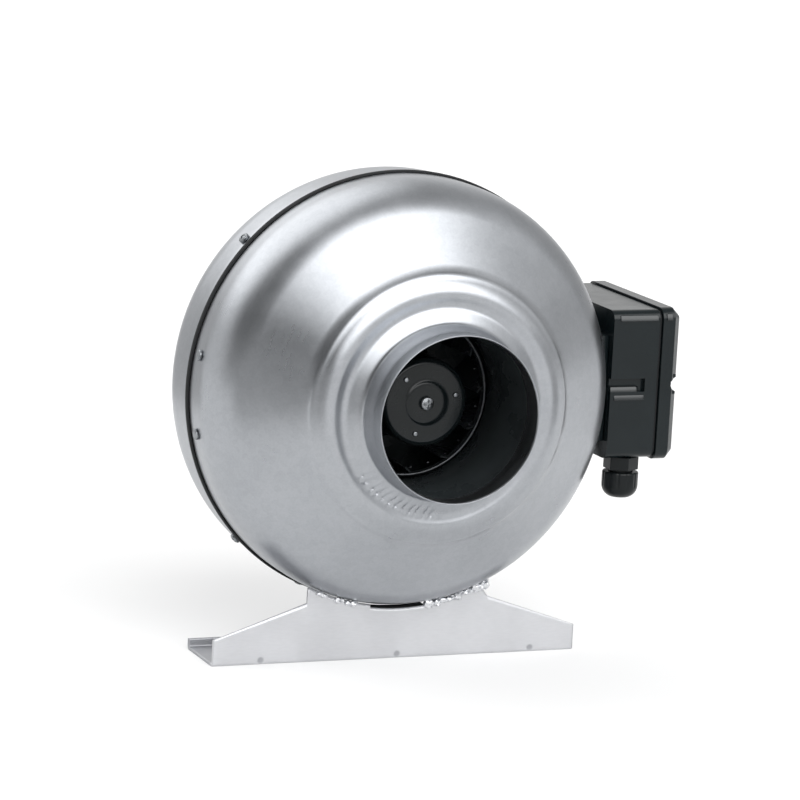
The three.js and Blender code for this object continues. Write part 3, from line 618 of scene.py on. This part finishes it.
def seam_gasket():
    """T-section rubber ring: a stem in the seam under a domed cap over both edges."""
    low, high = box_mm("seam_gasket")
    stem = SEAM_GAP - 0.3
    inner, seat, crown = LIP_RADIUS + 0.3, SHELL_RADIUS + 0.3, high.x
    cap = arc(Vector((0, 0)), 1, 180, 0, 12)
    middle, half = (low.y + high.y) / 2, (high.y - low.y) / 2
    outline = [Vector((inner, -stem)), Vector((seat, -stem))]
    outline += [Vector((seat + (crown - seat) * p.y ** 0.6, middle + half * p.x)) for p in cap]
    outline += [Vector((seat, stem)), Vector((inner, stem))]
    gasket = turned("seam_gasket_bead", outline, AT_AXIS, 240)
    finished(gasket, RUBBER, "casing", "rubber", "seam_gasket")


def screw_head(radius, height, driven):
    """Outline of a domed head on the local Y axis, from its centre down to its seat."""
    dome = [Vector((radius * math.sin(t), height * (0.55 + 0.45 * math.cos(t))))
            for t in [math.radians(a) for a in range(0, 91, 9)]]
    flat = 12 if driven else 2
    crown = [Vector((radius * 0.5 * i / flat, height)) for i in range(flat)]
    seat_edge = [Vector((radius, 0.35)), Vector((radius * 0.93, 0))]
    return crown + [p for p in dome if p.x > radius * 0.5] + seat_edge


def cross_recess(width, reach, depth, top):
    """Press a cross into the top of a head."""

    def deform(angle, radius, along):
        x = abs(radius * math.cos(angle))
        z = abs(radius * math.sin(angle))
        inside = min(x, z) < width and max(x, z) < reach
        if along > top - 0.4 and inside:
            along -= depth
        return radius, along

    return deform


def fastener(name, node, direction, seat, radius, height, shank, length, surface, slot, body, driven):
    """A screw or rivet that replaces a CAD node, with its head's seat at a given place."""
    head = screw_head(radius, height, driven)
    outline = head + [Vector((shank, 0)), Vector((shank, -length + 0.6)), Vector((0, -length))]
    deform = cross_recess(0.13 * radius, 0.62 * radius, 0.4 * height, height) if driven else None
    piece = turned(name, outline, along_axis(seat, direction), 48, deform)
    finished(piece, surface, body, slot, node)


def casing_fasteners():
    """Screws and rivets round the casing, each pointing outwards from the axis."""
    for kind, count, radius, shank, driven in (
            ("casing_screw", 6, 3.2, 1.5, True), ("bracket_rivet", 2, 3.3, 1.6, False)):
        for i in range(count):
            node = f"{kind}_{i + 1}"
            low, high = box_mm(node)
            middle = (low + high) / 2 - AXIS
            direction = Vector((middle.x, 0, middle.z)).normalized()
            seat = AXIS + direction * (SHELL_RADIUS + 0.15) + Vector((0, middle.y, 0))
            height = 2.6 if driven else 2.1
            fastener(f"{node}_detail", node, direction, seat, radius, height, shank, 8,
                     ZINC_SCREW, "zinc_screw", "casing", driven)


def inlet_nozzle():
    """Flared ring from the valley of the front shell down to a throat round the impeller eye."""
    flare = [Vector((VALLEY.x + 0.4, -NOZZLE_FRONT)), Vector((NOZZLE_FLANGE + 1, -NOZZLE_FRONT))]
    for step in range(25):
        turn = math.radians(90 * step / 24)
        radius = NOZZLE_FLANGE - (NOZZLE_FLANGE - NOZZLE_THROAT) * math.sin(turn)
        flare.append(Vector((radius, NOZZLE_LENGTH * (1 - math.cos(turn)) - NOZZLE_FRONT)))
    flare.append(Vector((NOZZLE_THROAT, NOZZLE_END)))
    nozzle = turned("inlet_nozzle_flare", rounded(sheet_outline(flare, -SHEET), 0.4), AT_AXIS, 160)
    finished(nozzle, BLACK_PAINT, "casing", "black_paint", "inlet_nozzle")


# ---- Foot ---------------------------------------------------------------------------------


def foot_top(x):
    """Height of the front plate's upper edge: slopes, ears, saddle and the notch below it."""
    saddle = AXIS.z - math.sqrt(SADDLE_RADIUS ** 2 - x ** 2)
    if abs(x) < SADDLE_NOTCH_HALF:
        return saddle - SADDLE_NOTCH_DEPTH
    if abs(x) > EAR_HALF_WIDTH:
        slope = (FOOT_HIGH.x - abs(x)) / (FOOT_HIGH.x - EAR_HALF_WIDTH)
        return FOOT_END_HEIGHT + (EAR_FOOT_HEIGHT - FOOT_END_HEIGHT) * slope
    if x < 0:
        return min(FOOT_HIGH.z, saddle)
    trimmed = SHORT_EAR.y + (EAR_FOOT_HEIGHT - SHORT_EAR.y) * (x - SHORT_EAR.x) / (
        EAR_HALF_WIDTH - SHORT_EAR.x)
    return min(trimmed, saddle) if x > SHORT_EAR.x - 1 else saddle


def foot_columns():
    """Places along X for the foot's mesh, doubled where its upper edge has a step."""
    columns = [FOOT_LOW.x + i * (FOOT_HIGH.x - FOOT_LOW.x) / 184 for i in range(185)]
    hair = 0.02
    for step in (-EAR_HALF_WIDTH, -SADDLE_NOTCH_HALF, SADDLE_NOTCH_HALF, EAR_HALF_WIDTH):
        columns += [step - hair, step + hair]
    columns += [SHORT_EAR.x, SHORT_EAR.x - 1]
    return sorted(columns)


def foot_section(top):
    """One slice of the folded sheet, as (y, z) from the plate's upper edge to the back flange."""
    front, back = FOOT_LOW.y, FOOT_HIGH.y
    plate = [Vector((front, FRONT_BEND + (top - FRONT_BEND) * (1 - i / 14))) for i in range(15)]
    corner = Vector((front, 0))
    section = plate + curve(plate[-1], corner, Vector((front + FRONT_BEND, 0)), 6)
    floor_end = Vector((back - BACK_BEND, 0))
    section += [section[-1].lerp(floor_end, i / 10) for i in range(1, 11)]
    section += curve(floor_end, Vector((back, 0)), Vector((back, BACK_BEND)), 6)
    flange_top = Vector((back, BACK_FLANGE_HEIGHT))
    return section + [section[-1].lerp(flange_top, i / 3) for i in range(1, 4)]


def foot_bracket():
    """The folded sheet, with three small dents along the front bend and slight buckles above it."""
    vertices = []
    columns = foot_columns()
    for x in columns:
        for y, z in foot_section(foot_top(x)):
            dent = sum(math.exp(-((x - d) / 2.2) ** 2 - ((z - 2.2) / 1.5) ** 2) for d in FOOT_DIMPLES)
            buckle = 0.25 * noise.noise(Vector((x / 34, z / 22, 4)))
            front_only = 1 if y < FOOT_LOW.y + 2.5 else 0
            vertices.append(Vector((x, y + front_only * (0.9 * dent + max(0, buckle)), z)))
    rows = len(foot_section(0))
    faces = []
    for i in range(len(columns) - 1):
        for j in range(rows - 1):
            faces.append((i * rows + j, (i + 1) * rows + j, (i + 1) * rows + j + 1, i * rows + j + 1))
    foot = add_mesh("foot_bracket_sheet", vertices, faces, sharp=50)
    solid = foot.modifiers.new("sheet", "SOLIDIFY")
    solid.thickness = FOOT_SHEET * MM
    solid.offset = -1
    solid.use_even_offset = True
    finished(foot, FOOT_STEEL, "casing", "foot_steel", "foot_bracket")


def weld_bead(centre, size, seed):
    """One lumpy blob of weld, as vertices and faces."""
    ball = bmesh.new()
    bmesh.ops.create_icosphere(ball, subdivisions=3, radius=1)
    vertices = []
    for vertex in ball.verts:
        lump = 1 + 0.4 * noise.noise(vertex.co * 1.7 + Vector((seed, 0, 0)))
        vertices.append(centre + Vector((vertex.co.x * size.x, vertex.co.y * size.y,
                                         vertex.co.z * size.z)) * lump)
    faces = [[v.index for v in face.verts] for face in ball.faces]
    ball.free()
    return vertices, faces


def saddle_welds():
    """Uneven beads of weld between the foot's saddle and the front shell."""
    chance = random.Random(11)
    vertices, faces = [], []
    for start, end, largest in ((-113, -111, 2.2), (-107.5, -103, 2.4), (-81, -63.5, 3.6)):
        angle = start
        while angle < end:
            turn = math.radians(angle)
            radius = SHELL_RADIUS + chance.uniform(-0.3, 0.9)
            centre = AXIS + Vector((radius * math.cos(turn), 0, radius * math.sin(turn)))
            centre.y = FOOT_LOW.y - chance.uniform(-0.2, 0.6)
            size = Vector((chance.uniform(0.6, 1), chance.uniform(0.5, 0.8), chance.uniform(0.45, 0.9)))
            bead_vertices, bead_faces = weld_bead(centre, size * largest, chance.uniform(0, 90))
            faces += [[i + len(vertices) for i in face] for face in bead_faces]
            vertices += bead_vertices
            angle += chance.uniform(1.1, 2.2)
    welds = add_mesh("saddle_welds", vertices, faces)
    finished(welds, WELD_METAL, "casing", "bright_steel")


def saddle_shade_block():
    """Dark strip in the rubber material that fills the saddle's notch under the front shell: painted
    shade standing for the shadowed gap.
    """
    top = AXIS.z - SHELL_RADIUS - 0.2
    notch = AXIS.z - SADDLE_RADIUS - SADDLE_NOTCH_DEPTH
    half = SADDLE_NOTCH_HALF - 0.4
    low = Vector((-half, FOOT_LOW.y + 0.4, notch - 2.5))
    high = Vector((half, FOOT_LOW.y + 7, top))

    def bowed(v):
        rise = 0.9 * (v.x / half) ** 2 if v.z > notch else 0
        return v + Vector((0, 0, rise))

    shade_block = block_mesh("saddle_shade_block", low, high, 0.5, bowed)
    finished(shade_block, RUBBER, "casing", "rubber")


# ---- Rotor --------------------------------------------------------------------------------


def rotor_can():
    """Drawn can with a raised boss in its face, a rounded corner and a flange at its open end."""
    face = CAN_LOW.y + BOSS_HEIGHT
    skin = [Vector((2.4, CAN_LOW.y)), Vector((BOSS_RADIUS - 3, CAN_LOW.y))]
    step_middle = Vector((BOSS_RADIUS, (CAN_LOW.y + face) / 2))
    skin += curve(skin[-1], Vector((BOSS_RADIUS - 0.9, CAN_LOW.y)), step_middle, 6)
    skin += curve(skin[-1], Vector((BOSS_RADIUS + 0.9, face)), Vector((BOSS_RADIUS + 3, face)), 6)
    skin += arc(Vector((CAN_RADIUS - CAN_BEND, face + CAN_BEND)), CAN_BEND, -90, 0, 10)
    foot = CAN_HIGH.y - CAN_SHEET
    skin += [Vector((CAN_RADIUS, foot - 2.5))]
    skin += curve(skin[-1], Vector((CAN_RADIUS, foot)), Vector((CAN_RADIUS + 2.5, foot)), 5)
    skin += [Vector((CAN_HIGH.x, foot))]
    can = turned("rotor_can_shell", rounded(sheet_outline(skin, CAN_SHEET), 0.3), AT_AXIS, 128)
    finished(can, ROTOR_PAINT, "rotor", "black_paint", "rotor_can")


def hub_fasteners():
    """The screw in the middle of the rotor's face and the three rivets round it."""
    front = Vector((0, -1, 0))
    seat = AXIS + Vector((0, CAN_LOW.y - 0.3, 0))
    fastener("hub_screw_detail", "hub_screw", front, seat, 4, 2.6, 1.9, 10,
             ZINC_SCREW, "bright_steel", "rotor", True)
    for i in range(3):
        low, high = box_mm(f"rotor_rivet_{i + 1}")
        seat = Vector(((low.x + high.x) / 2, CAN_LOW.y + BOSS_HEIGHT - 0.3, (low.z + high.z) / 2))
        fastener(f"rotor_rivet_{i + 1}_detail", f"rotor_rivet_{i + 1}", front, seat, 1.4, 1, 1.1, 4,
                 ZINC_SCREW, "zinc_screw", "rotor", False)


def impeller_plates():
    """Front plate with its eye collar and the collar's beaded rim, and the flat back plate."""
    rim = PLATE_HIGH.x
    front = PLATE_LOW.y
    skin = [Vector((EYE_RADIUS, front)), Vector((EYE_RADIUS, front + 4.4))]
    skin += curve(skin[-1], Vector((EYE_RADIUS + 1, PLATE_FLARE_START)), PLATE_FLARE_END, 12)
    skin += [skin[-1].lerp(Vector((rim, PLATE_RIM)), i / 4) for i in range(1, 5)]
    pressing = rounded(sheet_outline(skin, PLATE_SHEET), 0.5)
    plate = turned("front_plate_pressing", pressing, AT_AXIS, 144)
    finished(plate, BLACK_PAINT, "rotor", "black_paint", "impeller_front_plate")
    bead = arc(Vector((EYE_RADIUS - EYE_BEAD, front + 0.2)), EYE_BEAD, 0, 342, 19)
    finished(turned("eye_rim_bead", bead, AT_AXIS, 240), TAB_STEEL, "rotor", "zinc_screw")
    inner = CAN_RADIUS + BACK_PLATE_BORE_GAP
    outline = [
        Vector((inner, BACK_PLATE_LOW.y)), Vector((rim, BACK_PLATE_LOW.y)),
        Vector((rim, BACK_PLATE_HIGH.y)), Vector((inner, BACK_PLATE_HIGH.y)),
    ]
    back = turned("back_plate_pressing", rounded(outline, 0.4), AT_AXIS, 144)
    finished(back, BLACK_PAINT, "rotor", "black_paint", "impeller_back_plate")


def eye_tabs():
    """Small bright clenched ends of the blade rivets, just inside the eye collar."""
    vertices, faces = [], []
    for i in range(EYE_TABS):
        turn = 2 * math.pi * (i + 0.3) / EYE_TABS
        centre = AXIS + Vector((math.cos(turn), 0, math.sin(turn))) * EYE_TAB_RADIUS
        centre.y = PLATE_LOW.y + 1.2
        bead_vertices, bead_faces = weld_bead(centre, Vector((0.9, 0.7, 0.55)), i)
        faces += [[i + len(vertices) for i in face] for face in bead_faces]
        vertices += bead_vertices
    tabs = add_mesh("blade_tab_ends", vertices, faces)
    finished(tabs, TAB_STEEL, "rotor", "zinc_screw")


# ---- Terminal box and cable gland ---------------------------------------------------------


def box_ridges():
    """Rubbed ridges on the box's front: under its top edge, in and below its recess, on the lid."""
    middle = (BASE_LOW.z + BASE_HIGH.z) / 2
    front, back = BASE_LOW.y, BASE_LOW.x
    ridges = (
        ("top_ridge", (back + 4, front - 1.1, BASE_HIGH.z - 6.2),
         (BASE_HIGH.x - 1, front + 1, BASE_HIGH.z - 2.6)),
        ("recess_shelf", (back + 0.3, front + 0.7, middle - 4.4),
         (back + 18.3, front + 3.4, middle - 0.6)),
        ("recess_lip", (back + 2.5, front - 0.9, middle - 9),
         (back + 22.5, front + 1, middle - 4.8)),
        ("lid_ridge", (LID_LOW.x + 2, LID_LOW.y - 0.9, LID_HIGH.z - 7),
         (LID_LOW.x + 6, LID_LOW.y + 1, LID_HIGH.z - 3)),
    )
    for name, low, high in ridges:
        low, high = Vector(low), Vector(high)

        def sloped(v):
            slope = 1.3 * (v.z - low.z) / (high.z - low.z) if v.y < front + 0.9 else 0
            return v + Vector((0, slope, 0))

        ridge = block_mesh(name, low, high, 0.45, sloped)
        body = "box_lid" if name == "lid_ridge" else "casing"
        finished(ridge, RUBBED_PLASTIC, body, "black_plastic")


def run_capacitor():
    """Moulded can with a rounded base, a crimped groove and a sunk sealing disc."""
    low, high = box_mm("run_capacitor")
    radius = (high.x - low.x) / 2
    place = Matrix.Translation(Vector(((low.x + high.x) / 2, 0, (low.z + high.z) / 2)))
    mouth = low.y
    outline = [
        Vector((0, high.y)), Vector((radius, high.y)), Vector((radius, mouth + 4)),
        Vector((radius - 0.8, mouth + 3.2)), Vector((radius, mouth + 2.4)), Vector((radius, mouth)),
        Vector((radius - 1.4, mouth)), Vector((radius - 1.4, mouth + 1.4)), Vector((0, mouth + 1.4)),
    ]
    can = turned("run_capacitor_can", rounded(outline, 0.6), place, 96)
    finished(can, CAPACITOR_WHITE, "casing", "capacitor_white", "run_capacitor")


def terminal_block():
    """Nylon strip with walls between its ways and two clamp screws in each way."""
    low, high = box_mm("terminal_block")
    pitch = (high.y - low.y) / TERMINAL_WAYS
    half_wall = TERMINAL_WALL / 2
    strip = block_mesh("terminal_strip", low, Vector((high.x - 4, high.y, high.z)), 0.7)
    finished(strip, NYLON, "casing", "nylon", "terminal_block")
    for i in range(TERMINAL_WAYS + 1):
        middle = low.y + half_wall + i * (high.y - low.y - TERMINAL_WALL) / TERMINAL_WAYS
        wall = block_mesh(
            f"terminal_wall_{i + 1}", Vector((low.x + 5, middle - half_wall, low.z + 0.4)),
            Vector((high.x, middle + half_wall, high.z - 0.4)), 0.35)
        finished(wall, NYLON, "casing", "nylon")
    outline = [
        Vector((0, 1)), Vector((0.5, 1)), Vector((0.7, 1.8)), Vector((2.2, 1.6)),
        Vector((TERMINAL_SCREW_RADIUS, 0.9)), Vector((TERMINAL_SCREW_RADIUS, -0.4)), Vector((0, -0.4)),
    ]
    for i in range(TERMINAL_WAYS):
        for j, share in enumerate((0.28, 0.72)):
            seat = Vector((high.x - 4.2, low.y + (i + 0.5) * pitch, low.z + (high.z - low.z) * share))
            name = f"terminal_screw_{i * 2 + j + 1}"
            screw = turned(name, outline, along_axis(seat, Vector((1, 0, 0))), 48)
            finished(screw, BRIGHT_STEEL, "casing", "bright_steel")


def gland_nut():
    """Domed compression nut with shallow grip flutes round its skirt."""
    centre = (NUT_LOW + NUT_HIGH) / 2
    mouth = Vector((centre.x, centre.y, NUT_HIGH.z))
    place = Matrix.Translation(mouth) @ Matrix.Rotation(-math.pi / 2, 4, "X")
    radius = (NUT_HIGH.x - NUT_LOW.x) / 2
    depth = NUT_HIGH.z - NUT_LOW.z
    outline = [Vector((NUT_MOUTH, 0)), Vector((radius - 0.5, 0)), Vector((radius, 0.8))]
    outline += [Vector((radius, NUT_SKIRT))]
    outline += curve(outline[-1], Vector((radius, depth - 2.2)), Vector((6.2, depth)), 14)
    outline += [Vector((NUT_BORE, depth)), Vector((NUT_BORE, depth - 2.6))]
    outline += [Vector((NUT_MOUTH, depth - 4.2))]

    def fluted(angle, reach, along):
        grip = max(0, math.cos(angle * NUT_FLUTES)) ** 3
        on_skirt = 1 if reach > 9.5 and along < 9 else 0
        return reach - 0.35 * grip * on_skirt, along

    nut = turned("gland_nut_dome", rounded(outline, 0.4), place, 192, fluted)
    finished(nut, GLAND_NYLON, "gland_nut", "black_plastic", "gland_nut")


# ---- CAD nodes that keep their shape ------------------------------------------------------


def carried_over():
    """Edge softness and material for each CAD node that stays."""
    plans = (
        (0.9, BLACK_PLASTIC, ("box_base", "box_lid")),
        (0.35, BLACK_PLASTIC, ("box_saddle",)),
        (0.35, GLAND_NYLON, ("gland_body", "gland_locknut")),
        (0.15, RUBBER, ("lid_seal", "gland_seal", "lead_grommet")),
        (0.2, GALVANISED, ("motor_bracket",)),
        (0.15, BLACK_PAINT, tuple(f"impeller_blade_{i + 1}" for i in range(12))),
        (0.2, BRIGHT_STEEL, ("motor_flange", "front_bearing", "rear_bearing")),
        (0.2, BRIGHT_STEEL, ("motor_shaft", "rotor_hub")),
        (0.2, ZINC_SCREW, ("motor_screw_1", "motor_screw_2", "motor_screw_3")),
        (0.2, ZINC_SCREW, ("box_screw_1", "box_screw_2", "lid_screw_1", "lid_screw_2")),
        (0.1, LAMINATION, ("stator_core",)),
        (0.5, COPPER, ("front_winding", "rear_winding")),
        (0.1, LEAD_SHEATH, ("motor_lead",)),
    )
    for width, surface, nodes in plans:
        for node in nodes:
            soften(node, width, surface)


# ---- Stage, light and camera --------------------------------------------------------------


def studio_floor():
    """A wide sheet of pale paper that glows a little, so that it stays white under the dome."""
    reach = 9000
    corners = [Vector((x, y, 0)) for x, y in (
        (-reach, -reach), (reach, -reach), (reach, reach), (-reach, reach))]
    floor = add_mesh("studio_floor", corners, [(0, 1, 2, 3)])
    paper = Surface("floor_paper")
    paper.colour(paper.ranged(paper.noise(3), 0, 1), (0.53, 0.53, 0.53), (0.56, 0.56, 0.56))
    paper.shader.inputs["Emission Color"].default_value = (1, 1, 1, 1)
    paper.shader.inputs["Emission Strength"].default_value = 0.36
    paper.shader.inputs["Roughness"].default_value = 0.95
    paper.shader.inputs["Specular IOR Level"].default_value = 0.0
    floor.data.materials.append(paper.material)


def pointing(azimuth, elevation):
    """A direction from its azimuth, from +X towards +Y, and its elevation, in degrees."""
    a, e = math.radians(azimuth), math.radians(elevation)
    return Vector((math.cos(a) * math.cos(e), math.sin(a) * math.cos(e), math.sin(e)))


def studio_dome():
    """A soft dome of light: an even base, two broad panels and three dimmer patches.

    The camera itself sees plain white behind the fan.
    """
    world = bpy.data.worlds.new("studio")
    bpy.context.scene.world = world
    world.use_nodes = True
    nodes, links = world.node_tree.nodes, world.node_tree.links
    direction = nodes.new("ShaderNodeTexCoord").outputs["Generated"]

    def ramp(value, start, end, top):
        node = nodes.new("ShaderNodeMapRange")
        node.interpolation_type = "SMOOTHSTEP"
        node.inputs["From Min"].default_value = start
        node.inputs["From Max"].default_value = end
        node.inputs["To Max"].default_value = top
        links.new(value, node.inputs["Value"])
        return node.outputs["Result"]

    def joined(operation, first, second):
        node = nodes.new("ShaderNodeMath")
        node.operation = operation
        links.new(first, node.inputs[0])
        links.new(second, node.inputs[1])
        return node.outputs["Value"]

    height = nodes.new("ShaderNodeSeparateXYZ")
    links.new(direction, height.inputs["Vector"])
    above = ramp(height.outputs["Z"], *(math.sin(math.radians(e)) for e in PANEL_BOTTOM), 1)
    light = nodes.new("ShaderNodeValue")
    light.outputs[0].default_value = DOME_BASE
    total = light.outputs[0]
    for azimuth, elevation, outer, inner, strength in DOME_PANELS + DOME_SHADES:
        dot = nodes.new("ShaderNodeVectorMath")
        dot.operation = "DOT_PRODUCT"
        dot.inputs[1].default_value = pointing(azimuth, elevation)
        links.new(direction, dot.inputs[0])
        edges = (math.cos(math.radians(outer)), math.cos(math.radians(inner)))
        patch = ramp(dot.outputs["Value"], *edges, strength)
        if strength > 0:
            patch = joined("MULTIPLY", patch, above)
        total = joined("ADD", total, patch)
    seen = nodes.new("ShaderNodeLightPath").outputs["Is Camera Ray"]
    background = nodes["Background"]
    background.inputs["Color"].default_value = (1, 1, 1, 1)
    links.new(joined("MAXIMUM", total, seen), background.inputs["Strength"])


def studio_cards():
    """Grey cards that are seen only in reflections, so that the steel isn't washed out."""
    for i, (start, end, brightness) in enumerate(CARDS):
        vertices = []
        for step in range(13):
            turn = math.radians(start + (end - start) * step / 12)
            foot = Vector((math.cos(turn), math.sin(turn), 0)) * CARD_DISTANCE + Vector((0, 0, 1))
            vertices += [foot, foot + Vector((0, 0, CARD_HEIGHT))]
        faces = [(2 * k, 2 * k + 2, 2 * k + 3, 2 * k + 1) for k in range(12)]
        card = add_mesh(f"studio_card_{i + 1}", vertices, faces)
        material = bpy.data.materials.new(f"studio_card_{i + 1}")
        material.use_nodes = True
        nodes = material.node_tree.nodes
        glow = nodes.new("ShaderNodeEmission")
        glow.inputs["Strength"].default_value = brightness
        material.node_tree.links.new(glow.outputs[0], nodes["Material Output"].inputs["Surface"])
        card.data.materials.append(material)
        card.visible_camera = False
        card.visible_diffuse = False
        card.visible_shadow = False


def camera():
    """A long lens to the left of the fan axis and a little above it, slightly rolled."""
    back = Vector((
        math.sin(CAMERA_AZIMUTH) * math.cos(CAMERA_ELEVATION),
        -math.cos(CAMERA_AZIMUTH) * math.cos(CAMERA_ELEVATION),
        math.sin(CAMERA_ELEVATION),
    ))
    right = (-back).cross(Vector((0, 0, 1))).normalized()
    up = right.cross(-back)
    turn = Matrix((right, up, back)).transposed() @ Matrix.Rotation(CAMERA_ROLL, 3, "Z")
    data = bpy.data.cameras.new("camera")
    data.lens = CAMERA_LENS
    data.sensor_width = 36
    view = bpy.data.objects.new("camera", data)
    view.matrix_world = Matrix.Translation(CAMERA_TARGET + back * CAMERA_DISTANCE) @ turn.to_4x4()
    bpy.context.scene.collection.objects.link(view)
    bpy.context.scene.camera = view


half_shells()
seam_gasket()
casing_fasteners()
inlet_nozzle()
foot_bracket()
saddle_welds()
saddle_shade_block()
rotor_can()
hub_fasteners()
impeller_plates()
eye_tabs()
box_ridges()
run_capacitor()
terminal_block()
gland_nut()
carried_over()
studio_floor()
studio_dome()
studio_cards()
camera()
bpy.context.scene.view_settings.view_transform = "Standard"

bpy.context.view_layer.update()
